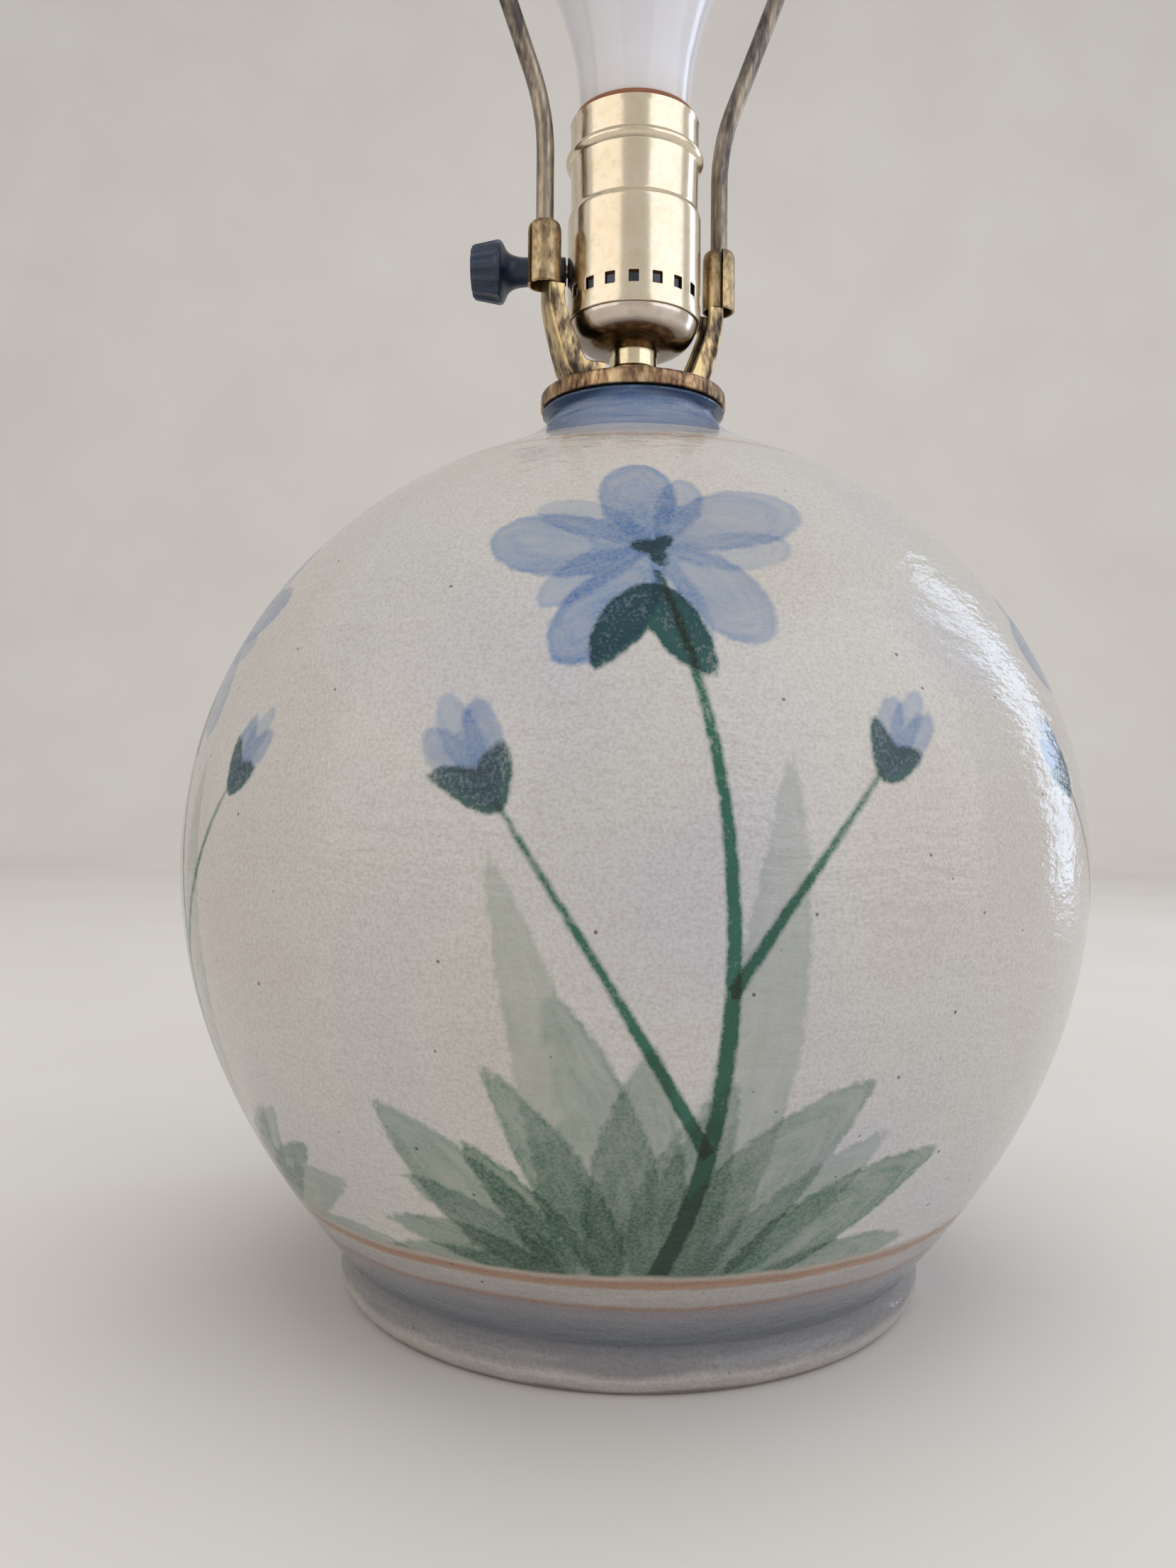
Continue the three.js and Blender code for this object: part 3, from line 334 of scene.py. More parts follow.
def open_cord_hole(middle_row, up_sign, side_span, up_span):
    """Draws the eight by eight faces round a hole at the back out to a circle.

    A face corner at u columns and v rows from the middle, each over 4, goes to the circle of
    radius R times max(|u|, |v|). The pull fades to nothing at side_span and up_span.
    """
    back = pot_columns // 2
    rows = np.arange(middle_row - 8, middle_row + 9)
    columns = np.arange(back - 16, back + 17)
    v = (np.arange(-8, 9) * up_sign / 4)[:, None] + 0 * columns
    u = (np.arange(-16, 17) / 4)[None] + 0 * rows[:, None]
    ring = np.maximum(np.abs(u), np.abs(v))
    far = np.maximum(np.hypot(u, v), 1e-9)
    side_fade = 1 - np.clip((np.abs(u) - 1) / (side_span - 1), 0, 1)
    up_fade = 1 - np.clip((np.abs(v) - 1) / (up_span - 1), 0, 1)
    pull = (side_fade * up_fade) ** 0.8
    block = pot_grid[rows[0] : rows[-1] + 1, columns[0] : columns[-1] + 1]
    radii = np.hypot(block[..., 0], block[..., 1])[:, 0]
    heights = block[:, 0, 2]
    order = np.argsort(heights)
    x = block[..., 0] * (1 - pull) - pull * cord_hole_radius * ring * u / far
    z = block[..., 2] * (1 - pull) + pull * (cord_hole_height + cord_hole_radius * ring * v / far)
    radius = np.interp(z, heights[order], radii[order])
    drawn = np.stack([x, np.sqrt(radius**2 - x**2), z], axis=-1)
    block[:] = np.where(pull[..., None] > 0, drawn, block)
    corner = np.r_[0:8, np.full(8, 8), 8:0:-1, np.full(8, 0)]
    side = np.r_[np.full(8, 0), 0:8, np.full(8, 8), 8:0:-1]
    row_steps = corner if up_sign > 0 else 8 - corner
    return (middle_row - 4 + row_steps) * pot_columns + back - 4 + side


outer_middle = wall_rows.start + nearest(outline[wall_rows, 1], cord_hole_height + 0.3)
inner_middle = len(outline) - 4 - len(recess_side)
inner_middle += nearest(recess_side[:, 1], cord_hole_height)
outer_rim = open_cord_hole(outer_middle, 1, 2.5, 2.0)
inner_rim = open_cord_hole(inner_middle, -1, 2.5, 1.25)
pot_faces = closed_faces(len(outline), pot_columns, ring=True)
shown = np.ones(pot_faces.shape[:2], bool)
back = pot_columns // 2
for middle in (outer_middle, inner_middle):
    shown[middle - 4 : middle + 4, back - 4 : back + 4] = False
tunnel = np.stack([np.roll(outer_rim, -1), outer_rim, inner_rim, np.roll(inner_rim, -1)], axis=1)
used, pot_faces = np.unique(np.vstack([pot_faces[shown], tunnel]), return_inverse=True)
pot_faces = pot_faces.reshape(-1, 4)
pot_points = pot_grid.reshape(-1, 3)[used]
used_rows = used // pot_columns

# The brushwork is laid on the wall as layers of signed distance: each wall point keeps how far it
# lies outside the nearest stroke's edge, how far along that stroke it is, both in mm, and the
# stroke's load. A stem is thinner than the mesh is fine, so the points beside it keep their signed
# offset from its centre line and its half width instead, which run straight across the line.
wall_arc = arc_lengths(wall)
painted = np.flatnonzero((used_rows >= wall_rows.start) & (used_rows < wall_rows.stop))
painted_points = pot_points[painted]
layer_names = ("wash_low", "wash_middle", "wash_high", "stems", "side_stems")
layer_names += ("petals", "petal_tops", "sepals")
far_from_paint = [9.0, -9.0, 1.0]
layers = {name: np.tile(far_from_paint, (len(painted), 1)) for name in layer_names}
dice = np.random.default_rng(11)


def on_wall(turn, places):
    """Wall point from (across, up): up is arc length from the foot, and the angle round the pot is
    turn plus across over the radius at that height."""
    radius = np.interp(places[:, 1], wall_arc, wall[:, 0])
    height = np.interp(places[:, 1], wall_arc, wall[:, 1])
    return around_z(radius, np.radians(turn) + places[:, 0] / radius, height)


def lance(t):
    """Half width of a leaf stroke: sin(pi t^0.8)^0.75, fullest a little before its middle."""
    return np.sin(np.pi * t**0.8) ** 0.75


def petal(t):
    """Half width of a petal stroke: sin(pi t^1.45)^0.6, narrow at the eye and full near its
    tip."""
    return np.sin(np.pi * t**1.45) ** 0.6


def brush(layer, turn, curve, half_width, shape, load=1.0):
    """One stroke on one layer: distance to the nearest point of its centre line, less the half
    width there. Where strokes of a layer meet, the lower value stays. The load falls by a fifth to
    the tip."""
    rough = on_wall(turn, quadratic(*curve, 24))
    steps = int(arc_lengths(rough)[-1]) + 8
    path = on_wall(turn, quadratic(*curve, steps))
    t = np.linspace(0, 1, steps)
    width = half_width * shape(t)
    reach = half_width + 4
    inside = (painted_points > path.min(0) - reach) & (painted_points < path.max(0) + reach)
    near = np.flatnonzero(inside.all(axis=1))
    gaps = painted_points[near, None] - path[None]
    distance = np.sqrt(np.einsum("ijk,ijk->ij", gaps, gaps)) - width
    best = distance.argmin(axis=1)
    value = distance[np.arange(len(near)), best]
    wins = value < layers[layer][near, 0]
    share = t[best[wins]]
    loads = load * (1 - 0.2 * share)
    so_far = share * arc_lengths(path)[-1]
    layers[layer][near[wins]] = np.stack([value[wins], so_far, loads], axis=1)


def stem(layer, turn, curve, half_width):
    """A thin stroke: its width falls as 1 - 0.6 t and its load as 1.3 - 0.6 t. Points more than 5
    mm beside it, or past either end, are left alone."""
    path = on_wall(turn, quadratic(*curve, 120))
    t = np.linspace(0, 1, 120)
    inside = (painted_points > path.min(0) - 5) & (painted_points < path.max(0) + 5)
    near = np.flatnonzero(inside.all(axis=1))
    gaps = painted_points[near, None] - path[None]
    best = np.einsum("ijk,ijk->ij", gaps, gaps).argmin(axis=1)
    gaps = gaps[np.arange(len(near)), best]
    ahead = np.gradient(path, axis=0)[best]
    ahead /= np.linalg.norm(ahead, axis=1)[:, None]
    across = np.cross(ahead, painted_points[near] * [1, 1, 0])
    offset = np.sign((across * gaps).sum(axis=1)) * np.linalg.norm(gaps, axis=1)
    beside = (np.abs(offset) < 5) & (np.abs((ahead * gaps).sum(axis=1)) < 1)
    state = np.stack([offset, half_width * (1 - 0.6 * t[best]), 1.3 - 0.6 * t[best]], axis=1)
    layers[layer][near[beside]] = state[beside]


def stroke(layer, turn, root, lean, length, half_width, shape, bow=0.12, load=1.0):
    """A stroke from a root at a lean from straight up, in degrees, bowed sideways by a share of
    its length."""
    lean = np.radians(lean)
    ahead = np.array([np.sin(lean), np.cos(lean)]) * length
    aside = np.array([ahead[1], -ahead[0]]) * bow
    root = np.asarray(root, float)
    brush(layer, turn, (root, root + ahead / 2 + aside, root + ahead), half_width, shape, load)


def blossom(turn, eye, size, tilt):
    """Five open petals round an eye, each of two strokes side by side, with three dots in the
    eye."""
    for i in range(5):
        lean = tilt + i * 72 + dice.uniform(-9, 9)
        length = size * dice.uniform(0.84, 1.12)
        load = dice.uniform(0.7, 1.1)
        width = length * dice.uniform(0.24, 0.3)
        stroke("petals", turn, eye, lean - 10, length, width, petal, -0.1, load)
        stroke("petal_tops", turn, eye, lean + 11, length * 0.84, width * 0.6, petal, 0.12, load)
    for i in range(3):
        lean = tilt + 30 + i * 120
        stroke("sepals", turn, eye, lean, size * 0.15, 1.7, lance)


def bud(turn, root, lean, size):
    """A closed bud: three petals folded over each other, held by two dark sepals."""
    for offset, share in ((-17, 0.88), (15, 0.94), (0, 1.06)):
        layer = "petals" if offset else "petal_tops"
        load = dice.uniform(0.75, 1.0)
        stroke(layer, turn, root, lean + offset, size * share, size * 0.17, petal, 0.0, load)
    stroke("sepals", turn, root, lean - 38, size * 0.66, size * 0.14, lance, 0.2)
    stroke("sepals", turn, root, lean + 34, size * 0.56, size * 0.16, lance, -0.2)


def spray(turn, side, blossom_up, stem_lean):
    """One plant: a bowed stem with a blossom, two side stems with buds, and a tuft of leaves that
    fan out from its foot in three layers of wash. side is 1 or -1 and turns the whole plant
    over."""
    foot = np.array([side * -3.0, 19.0])
    tip = np.array([side * stem_lean, blossom_up - 6])
    pull = np.array([side * (stem_lean + 25), 92.0])
    stem_curve = (foot, pull, tip)
    stem("stems", turn, stem_curve, 2.0)
    stem_points = quadratic(*stem_curve, 101)
    for share, lean, length, size in ((0.26, -31, 74, 22), (0.47, 36, 48, 18)):
        root = stem_points[int(share * 100)]
        lean = np.radians(side * lean)
        end = root + length * np.array([np.sin(lean), np.cos(lean)])
        middle = (root + end) / 2 + [side * -7 * np.sign(share - 0.4), -7]
        stem("side_stems", turn, (root, middle, end), 1.35)
        bud(turn, end - [0, 1.5], np.degrees(lean) * 0.85, size)
    wash_layers = ("wash_low", "wash_middle", "wash_high")
    for i, place in enumerate(np.linspace(-1, 1, 15)):
        lean = side * (place * 80 + dice.uniform(-6, 6))
        length = (68 - 24 * abs(place)) * dice.uniform(0.8, 1.12)
        root = foot + [place * 20 + dice.uniform(-3, 3), dice.uniform(-2, 6)]
        load = dice.uniform(0.7, 1.2)
        bow = -0.13 * np.sign(lean) * dice.uniform(0.4, 1.5)
        width = length * dice.uniform(0.11, 0.16)
        stroke(wash_layers[(i * 2) % 3], turn, root, lean, length, width, lance, bow, load)
    for lean, length, width in ((9, 104, 7.5), (-13, 88, 6.5)):
        root = foot + [side * lean * 0.8, 8]
        stroke("wash_low", turn, root, side * lean, length, width, lance, 0.06, 0.45)
    blossom(turn, (side * stem_lean, blossom_up), 32, 8 * side)
    for lean in (152, 214):
        stroke("sepals", turn, tip - [0, 4], side * lean, 21, 4.6, lance, 0.1)


for turn, side, blossom_up, stem_lean in (
    (4, 1, 172, -2), (79, -1, 160, 4), (151, 1, 168, 0), (222, -1, 174, 3), (293, 1, 158, -3)
):
    spray(turn, side, blossom_up, stem_lean)
outline_bare = np.zeros(len(outline))
outline_bare[wall_rows.stop + len(lip) + len(lining) + 5 :] = 1.0
outline_bare[0] = 0.6

# Stoneware under a semi-matt tin glaze: pale, faintly warm and grained like fine sugar, with small
# iron specks, shallow throwing rings and a slightly pebbled gloss. Oxide brushwork shows through
# it as a stain, darker where a stroke's edge pooled. Bare clay under the foot is dry and buff.
glaze, tree, shader, place = start_material(
    "tin-glazed stoneware with oxide brushwork", {"IOR": 1.5, "Coat Weight": 0.0}
)
spot = add_node(tree, "SeparateXYZ", place)
drift = add_node(tree, "TexNoise", Vector=place, Scale=1 / 70, Detail=2.0)
body_tone = add_node(
    tree, "ValToRGB", drift["Fac"], stops=[(0.32, "#c8c1bb"), (0.52, "#cac8c4"), (0.7, "#c3c2c8")],
)["Color"]

# One wash of oxide: it covers where the stroke's depth, made ragged by noise, passes zero. Its
# strength is its load times the streaks that the brush's hairs left along it, and it pooled a
# little darker within a millimetre of its edge.
wash = bpy.data.node_groups.new("oxide wash", "ShaderNodeTree")
for name, kind in (
    ("Under", "Color"), ("Layer", "Vector"), ("Place", "Vector"), ("Stain", "Color"),
    ("Strength", "Float"), ("Ragged", "Float"), ("Grain", "Float"),
):
    wash.interface.new_socket(name, in_out="INPUT", socket_type="NodeSocket" + kind)
wash.interface.new_socket("Stained", in_out="OUTPUT", socket_type="NodeSocketColor")
given = add_node(wash, "NodeGroupInput")
state = add_node(wash, "SeparateXYZ", given["Layer"])
ragged = add_node(
    wash, "TexNoise", Vector=given["Place"], Scale=1 / 2.2, Detail=4.0, Roughness=0.62
)
ragged = add_node(wash, "MapRange", ragged["Fac"], 0.3, 0.7, -0.6, 0.6)["Result"]
ragged = add_node(wash, "Math", ragged, given["Ragged"], operation="MULTIPLY")[0]
depth = add_node(wash, "Math", ragged, state["X"], operation="SUBTRACT")[0]
cover = add_node(wash, "MapRange", depth, -0.6, 0.7, interpolation_type="SMOOTHSTEP")["Result"]
pooled = add_node(
    wash, "MapRange", depth, 0.5, 1.9, 1.08, 0.98, interpolation_type="SMOOTHSTEP"
)["Result"]
hair_lines = add_node(wash, "VectorMath", given["Layer"], (0.4, 0.04, 0.0), operation="MULTIPLY")[0]
hair_lines = add_node(
    wash, "VectorMath", given["Place"], (0.11, 0.11, 0.11), hair_lines, operation="MULTIPLY_ADD"
)[0]
streaks = add_node(wash, "TexNoise", Vector=hair_lines, Scale=1.0, Detail=4.0, Roughness=0.62)
streaks = add_node(wash, "MapRange", streaks["Fac"], 0.3, 0.7, 0.68, 1.16)["Result"]
amount = add_node(wash, "Math", state["Z"], given["Strength"], operation="MULTIPLY")[0]
for part in (cover, pooled, streaks, given["Grain"]):
    amount = add_node(wash, "Math", amount, part, operation="MULTIPLY")[0]
amount = add_node(wash, "Math", amount, 1.0, operation="MINIMUM")[0]
stained = add_node(
    wash, "Mix", amount, given["Under"], given["Stain"], data_type="RGBA", blend_type="MULTIPLY"
)
add_node(wash, "NodeGroupOutput", Stained=stained[2])

grain_noise = add_node(tree, "TexNoise", Vector=place, Scale=1 / 0.65, Detail=2.0)
grain = add_node(tree, "MapRange", grain_noise["Fac"], 0.35, 0.65, 0.72, 1.12)["Result"]
colour = body_tone
for name, stain, strength, rag in (
    ("wash_low", "#659a80", 0.9, 1.0), ("wash_middle", "#74a590", 0.84, 1.0),
    ("wash_high", "#5f957b", 0.86, 1.0), ("stems", "#38826c", 1.35, 0.3),
    ("side_stems", "#38826c", 1.2, 0.3), ("petals", "#7da8de", 0.95, 0.7),
    ("petal_tops", "#93b9e6", 0.7, 0.7), ("sepals", "#2b6868", 1.3, 0.5),
):
    layer = add_node(tree, "Attribute", attribute_name=name)["Vector"]
    if name in ("stems", "side_stems"):
        state = add_node(tree, "SeparateXYZ", layer)
        offset = add_node(tree, "Math", state["X"], operation="ABSOLUTE")[0]
        outside = add_node(tree, "Math", offset, state["Y"], operation="SUBTRACT")[0]
        layer = add_node(tree, "CombineXYZ", outside, spot["Z"], state["Z"])[0]
    washed = add_node(
        tree, "Group", node_tree=wash, Under=colour, Layer=layer, Place=place, Stain=stain,
        Strength=strength, Ragged=rag, Grain=grain,
    )
    colour = washed["Stained"]

# The neck's blue band was brushed on the turning wheel, so its streaks run round. A faint wash of
# it runs down the shoulder to a thin rust line. The lip is navy glaze deepened by painted shade
# from the cap, and the painted shade reaches lower at its left and right.
round_streaks = add_node(tree, "Mapping", Vector=place, Scale=(0.12, 0.12, 1.0))[0]
brushed = add_node(
    tree, "TexNoise", Vector=round_streaks, Scale=1 / 1.6, Detail=3.0, Roughness=0.65
)
wobble = add_node(tree, "TexNoise", Vector=place, Scale=1 / 22, Detail=2.0)
wobble = add_node(tree, "MapRange", wobble["Fac"], 0.0, 1.0, -1.3, 1.3)["Result"]
height = add_node(tree, "Math", spot["Z"], wobble, operation="ADD")[0]
neck_place = add_node(tree, "MapRange", height, 196.0, 222.0)["Result"]
neck_amount = add_node(
    tree, "ValToRGB", neck_place, stops=[(0.1, 0.0), (0.125, 0.35), (0.16, 0.3), (0.185, 0.0)],
)["Color"]
colour = add_node(
    tree, "Mix", neck_amount, colour, "#c98f52", data_type="RGBA", blend_type="MULTIPLY"
)[2]
band_amount = add_node(
    tree, "ValToRGB", neck_place,
    stops=[(0.19, 0.0), (0.205, 0.14), (0.42, 0.1), (0.45, 0.92), (0.52, 0.74), (0.85, 0.9)],
)["Color"]
brushed_amount = add_node(tree, "MapRange", brushed["Fac"], 0.3, 0.7, 0.68, 1.12)["Result"]
band_amount = add_node(tree, "Math", band_amount, brushed_amount, operation="MULTIPLY")[0]
colour = add_node(
    tree, "Mix", band_amount, colour, "#7fa3dc",
    data_type="RGBA", blend_type="MULTIPLY", clamp_factor=True,
)[2]
# Navy glaze on the lip, darkened further as the painted shade under the cap. The sideways term lets
# the painted shade reach lower at the lip's left and right.
lip_shade_height = add_node(tree, "Math", spot["X"], operation="ABSOLUTE")[0]
lip_shade_height = add_node(tree, "Math", lip_shade_height, 0.13, height, operation="MULTIPLY_ADD")[0]
lip_glaze_and_shade = add_node(
    tree, "MapRange", lip_shade_height, 219.6, 221.2, 0.0, 0.9, interpolation_type="SMOOTHSTEP"
)["Result"]
colour = add_node(tree, "Mix", lip_glaze_and_shade, colour, "#233f5f", data_type="RGBA")[2]

# The foot was banded on the wheel too: slate blue over grey, a pale bead at its rim lightened
# further as a painted highlight, a lilac stripe, and two rust lines below the white of the body.
# Heights are in mm over 32.
foot_place = add_node(tree, "Math", height, 32.0, operation="DIVIDE")[0]
foot_tone = add_node(
    tree, "ValToRGB", foot_place,
    stops=[
        (0.02, "#8c8680"), (0.05, "#c9c4be"), (0.12, "#cfcac5"), (0.17, "#9a9899"),
        (0.3, "#8f9096"), (0.36, "#838a93"), (0.55, "#90959d"), (0.6, "#9f9ca2"), (0.66, "#9f999e"),
        (0.69, "#a98a77"), (0.72, "#bdb8b5"), (0.84, "#c6c1bc"), (0.86, "#b99a82"),
        (0.9, "#b38d72"), (0.93, "#c9bdb2"),
    ],
)["Color"]
foot_amount = add_node(
    tree, "MapRange", foot_place, 0.93, 0.97, 1.0, 0.0, interpolation_type="SMOOTHSTEP"
)["Result"]
foot_streaks = add_node(
    tree, "Mix", brushed_amount, foot_tone, "#dcdcde", data_type="RGBA", blend_type="MULTIPLY"
)[2]
colour = add_node(tree, "Mix", foot_amount, colour, foot_streaks, data_type="RGBA")[2]

# Grain: pale and dark flecks under a millimetre wide. Iron specks: one or so to every 6 mm, each a
# dark brown dot of up to 0.9 mm.
grain_tone = add_node(
    tree, "ValToRGB", grain_noise["Fac"],
    stops=[(0.34, "#eceae8"), (0.5, "#f8f7f6"), (0.66, "#ffffff")],
)["Color"]
colour = add_node(tree, "Mix", 1.0, colour, grain_tone, data_type="RGBA", blend_type="MULTIPLY")[2]
specks = add_node(tree, "TexVoronoi", Vector=place, Scale=1 / 5.5)
speck_size = add_node(tree, "SeparateColor", specks["Color"])["Red"]
speck_size = add_node(tree, "MapRange", speck_size, 0.2, 1.0, 0.0, 0.085)["Result"]
speck_depth = add_node(tree, "Math", speck_size, specks["Distance"], operation="SUBTRACT")[0]
speck_amount = add_node(tree, "MapRange", speck_depth, -0.01, 0.02, 0.0, 0.8)["Result"]
colour = add_node(tree, "Mix", speck_amount, colour, "#4a3a30", data_type="RGBA")[2]
bare = add_node(tree, "Attribute", attribute_name="bare_clay")["Fac"]
clay_tone = add_node(
    tree, "ValToRGB", grain_noise["Fac"], stops=[(0.35, "#9a8a78"), (0.65, "#b9aa97")],
)["Color"]
colour = add_node(tree, "Mix", bare, colour, clay_tone, data_type="RGBA")[2]

# Gloss: even, broken by slow patches. Relief: throwing rings 6 mm apart, and ripples 7 mm long and
# 2.6 mm high, left by the wet hand and softened by the glaze.
gloss = add_node(tree, "TexNoise", Vector=place, Scale=1 / 14, Detail=3.0)
roughness = add_node(tree, "MapRange", gloss["Fac"], 0.3, 0.7, 0.09, 0.19)["Result"]
roughness = add_node(tree, "Mix", bare, roughness, 0.85)[0]
rings = add_node(tree, "TexNoise", W=height, Scale=1 / 6, Detail=1.0, noise_dimensions="1D")
waves = add_node(tree, "Mapping", Vector=place, Scale=(0.35, 0.35, 1.0))[0]
waves = add_node(tree, "TexNoise", Vector=waves, Scale=1 / 2.6, Detail=3.0, Roughness=0.6)
ring_relief = add_node(tree, "Bump", Strength=1.0, Distance=0.00022, Height=rings["Fac"])
relief = add_node(
    tree, "Bump", Strength=1.0, Distance=0.00042, Height=waves["Fac"], Normal=ring_relief["Normal"]
)
set_inputs(tree, shader, {"Base Color": colour, "Roughness": roughness, "Normal": relief["Normal"]})

pot = new_piece("ceramic_pot", pot_points, pot_faces.tolist(), glaze)
for name, painted_values in layers.items():
    values = np.tile(far_from_paint, (len(pot_points), 1))
    values[painted] = painted_values
    add_values(pot, name, values)
add_values(pot, "bare_clay", outline_bare[used_rows])
pot.data.set_sharp_from_angle(angle=np.radians(50))
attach(pot, "base")
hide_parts("pot", "pot_foot")

# Cord bushing. A moulded black rubber sleeve pushed into the hole at the back of the foot, with a
# lip outside that stops it. It keeps the cord off the ceramic edge.
bushing_bore = 3.4
bushing_wall = 0.8
bushing_lip = 0.9
bushing_lip_thickness = 1.3


def extent(node):
    """Lowest and highest corner of a CAD node, in mm."""
    low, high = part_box(node)
    return np.array(low) * 1000, np.array(high) * 1000


def rounded(corners, radius, steps=3):
    """Cuts each corner with the curve (1 - t)^2 a + 2 t (1 - t) corner + t^2 b, where a and b lie
    one radius away along the sides, or at most 0.45 of a side. A radius of 0 keeps its corner."""
    corners = np.asarray(corners, float)
    before = np.roll(corners, 1, axis=0) - corners
    after = np.roll(corners, -1, axis=0) - corners
    sides = np.linalg.norm(before, axis=1), np.linalg.norm(after, axis=1)
    reach = np.minimum(np.broadcast_to(radius, len(corners)), 0.45 * np.minimum(*sides))
    a = corners + before * (reach / sides[0])[:, None]
    b = corners + after * (reach / sides[1])[:, None]
    t = np.linspace(0, 1, steps + 1)[None, :, None]
    curve = (1 - t) ** 2 * a[:, None] + 2 * t * (1 - t) * corners[:, None] + t**2 * b[:, None]
    points = curve.reshape(-1, 2)
    fresh = np.linalg.norm(points - np.roll(points, 1, axis=0), axis=1) > 1e-6
    return points[fresh]


def shaped_piece(name, grids, material, sharp_degrees=40):
    """Joins closed grids of points into one piece. Columns run round and close. Rows close too in
    a ring; flat ends get a face each; open ends shrink to a point, where their points are
    merged."""
    points, faces, start = [], [], 0
    for grid, ends in grids:
        rows, columns = grid.shape[:2]
        quads = closed_faces(rows, columns, ends == "ring", start).reshape(-1, 4)
        first, last = start + np.arange(columns), start + np.arange(columns) + (rows - 1) * columns
        caps = [first[::-1], last] if ends == "flat" else []
        flat = grid.reshape(-1, 3)
        a, b, c, d = np.moveaxis((flat - flat.mean(axis=0))[quads - start], 1, 0)
        inside_out = np.sum(a * np.cross(b, c)) + np.sum(a * np.cross(c, d)) < 0
        turn = slice(None, None, -1 if inside_out else 1)
        faces += quads[:, turn].tolist() + [cap[turn].tolist() for cap in caps]
        points.append(flat)
        start += rows * columns
    piece = new_piece(name, np.vstack(points), faces, material)
    shell = bmesh.new()
    shell.from_mesh(piece.data)
    bmesh.ops.remove_doubles(shell, verts=shell.verts, dist=1e-6)
    shell.to_mesh(piece.data)
    shell.free()
    piece.data.set_sharp_from_angle(angle=np.radians(sharp_degrees))
    return piece


def along_y(grid):
    """Lays a shape that was turned round Z down along Y: its height becomes Y."""
    return np.stack([grid[..., 0], grid[..., 2], -grid[..., 1]], axis=-1)


# Nitrile rubber, moulded: near black, with a soft low sheen and a fine mould grain.
rubber, tree, shader, place = start_material(
    "moulded black rubber", {"Roughness": 0.55, "IOR": 1.52, "Specular IOR Level": 0.4}
)
bloom = add_node(tree, "TexNoise", Vector=place, Scale=1 / 3, Detail=3.0)
tone = add_node(tree, "ValToRGB", bloom["Fac"], stops=[(0.3, "#1d1d1d"), (0.7, "#2b2a29")])
mould = add_node(tree, "TexNoise", Vector=place, Scale=1 / 0.4)
relief = add_node(tree, "Bump", Distance=0.00004, Height=mould["Fac"])
set_inputs(tree, shader, {"Base Color": tone["Color"], "Normal": relief["Normal"]})

bushing_low, bushing_high = extent("cord_bushing")
lip_face = bushing_high[1] - bushing_lip_thickness
tube_radius = bushing_bore + bushing_wall
bushing_outline = rounded(
    [
        (bushing_bore, bushing_low[1]), (tube_radius, bushing_low[1]), (tube_radius, lip_face),
        (tube_radius + bushing_lip, lip_face), (tube_radius + bushing_lip, bushing_high[1]),
        (bushing_bore, bushing_high[1]),
    ],
    [0.3, 0.3, 0, 0.3, 0.7, 0.5],
)
bushing_grid = along_y(revolved(bushing_outline, 48)) + [0, 0, cord_hole_height]
bushing = shaped_piece("rubber_bushing", [(bushing_grid, "ring")], rubber)
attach(bushing, "base")
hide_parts("cord_bushing")

# Threaded pipe. A steel tube with a fine parallel thread, cut from a long rod. It runs from under
# the pot's floor up to the socket and clamps everything between its nuts. It is zinc plated.
pipe_radius = 4.85
pipe_bore = 3.3
pipe_pitch = 0.94
pipe_thread_depth = 0.28
pipe_columns = 40


def foot_and_top(node):
    """Lowest and highest height of a CAD node, in mm."""
    low, high = extent(node)
    return low[2], high[2]


def threaded(radius, depth, pitch, low, high, columns, per_turn=6):
    """Rows up a screw thread: radius - depth |2 f - 1|, with f the fraction of height over pitch
    less turn. Over one pitch at both ends it eases to a plain rod of the thread's root."""
    rows = int((high - low) / pitch * per_turn) + 1
    z = np.linspace(low, high, rows)[:, None]
    angle = (np.arange(columns) / columns)[None]
    f = np.mod(z / pitch - angle, 1)
    ease = np.clip(np.minimum(z - low, high - z) / pitch, 0, 1)
    return around_z(radius - depth * (1 - ease * (1 - np.abs(2 * f - 1))), 2 * np.pi * angle, z)


# Mild steel, zinc plated and a few years old: dull grey with cloudy crystals and light scuffs.
steel, tree, shader, place = start_material("zinc-plated steel", {"Metallic": 1.0})
cloud = add_node(tree, "TexVoronoi", Vector=place, Scale=1 / 2.5)
dull = add_node(tree, "TexNoise", Vector=place, Scale=1 / 5, Detail=4.0)
mixed = add_node(tree, "Mix", 0.35, dull["Fac"], cloud["Distance"])
tone = add_node(tree, "ValToRGB", mixed[0], stops=[(0.3, "#8b8a87"), (0.65, "#b9b9b5")])
worn = add_node(tree, "MapRange", dull["Fac"], 0.3, 0.7, 0.34, 0.52)
set_inputs(tree, shader, {"Base Color": tone["Color"], "Roughness": worn["Result"]})

pipe_foot, pipe_top = foot_and_top("threaded_pipe")
screw_rows = threaded(
    pipe_radius, pipe_thread_depth, pipe_pitch, pipe_foot, pipe_top, pipe_columns, per_turn=4
)
pipe_bore_rows = revolved([(pipe_bore, pipe_top), (pipe_bore, pipe_foot)], pipe_columns)
pipe = shaped_piece(
    "steel_threaded_pipe", [(np.vstack([screw_rows, pipe_bore_rows]), "ring")], steel, 60
)
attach(pipe, "base")
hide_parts("threaded_pipe")

# Washers and nuts on the pipe. Under the floor a wide flat washer, a split spring washer and a
# brass hexagon nut pull the pipe down; above the saddle another spring washer and nut lock it.
nut_flats = 14.3
nut_chamfer_share = 0.93
washer_spring = 0.24
saw_cut = 7.2


def ring_section(bore, radius, foot, top, round_by, steps=3):
    """The four-cornered section of a plain ring, with its corners rounded."""
    return rounded([(bore, foot), (radius, foot), (radius, top), (bore, top)], round_by, steps)


def flat_washer(node):
    """A ring stamped from sheet: inner edge, outer edge and their small rounded corners."""
    low, high = extent(node)
    return revolved(ring_section(pipe_hole, high[0], low[2], high[2], 0.25), 96)


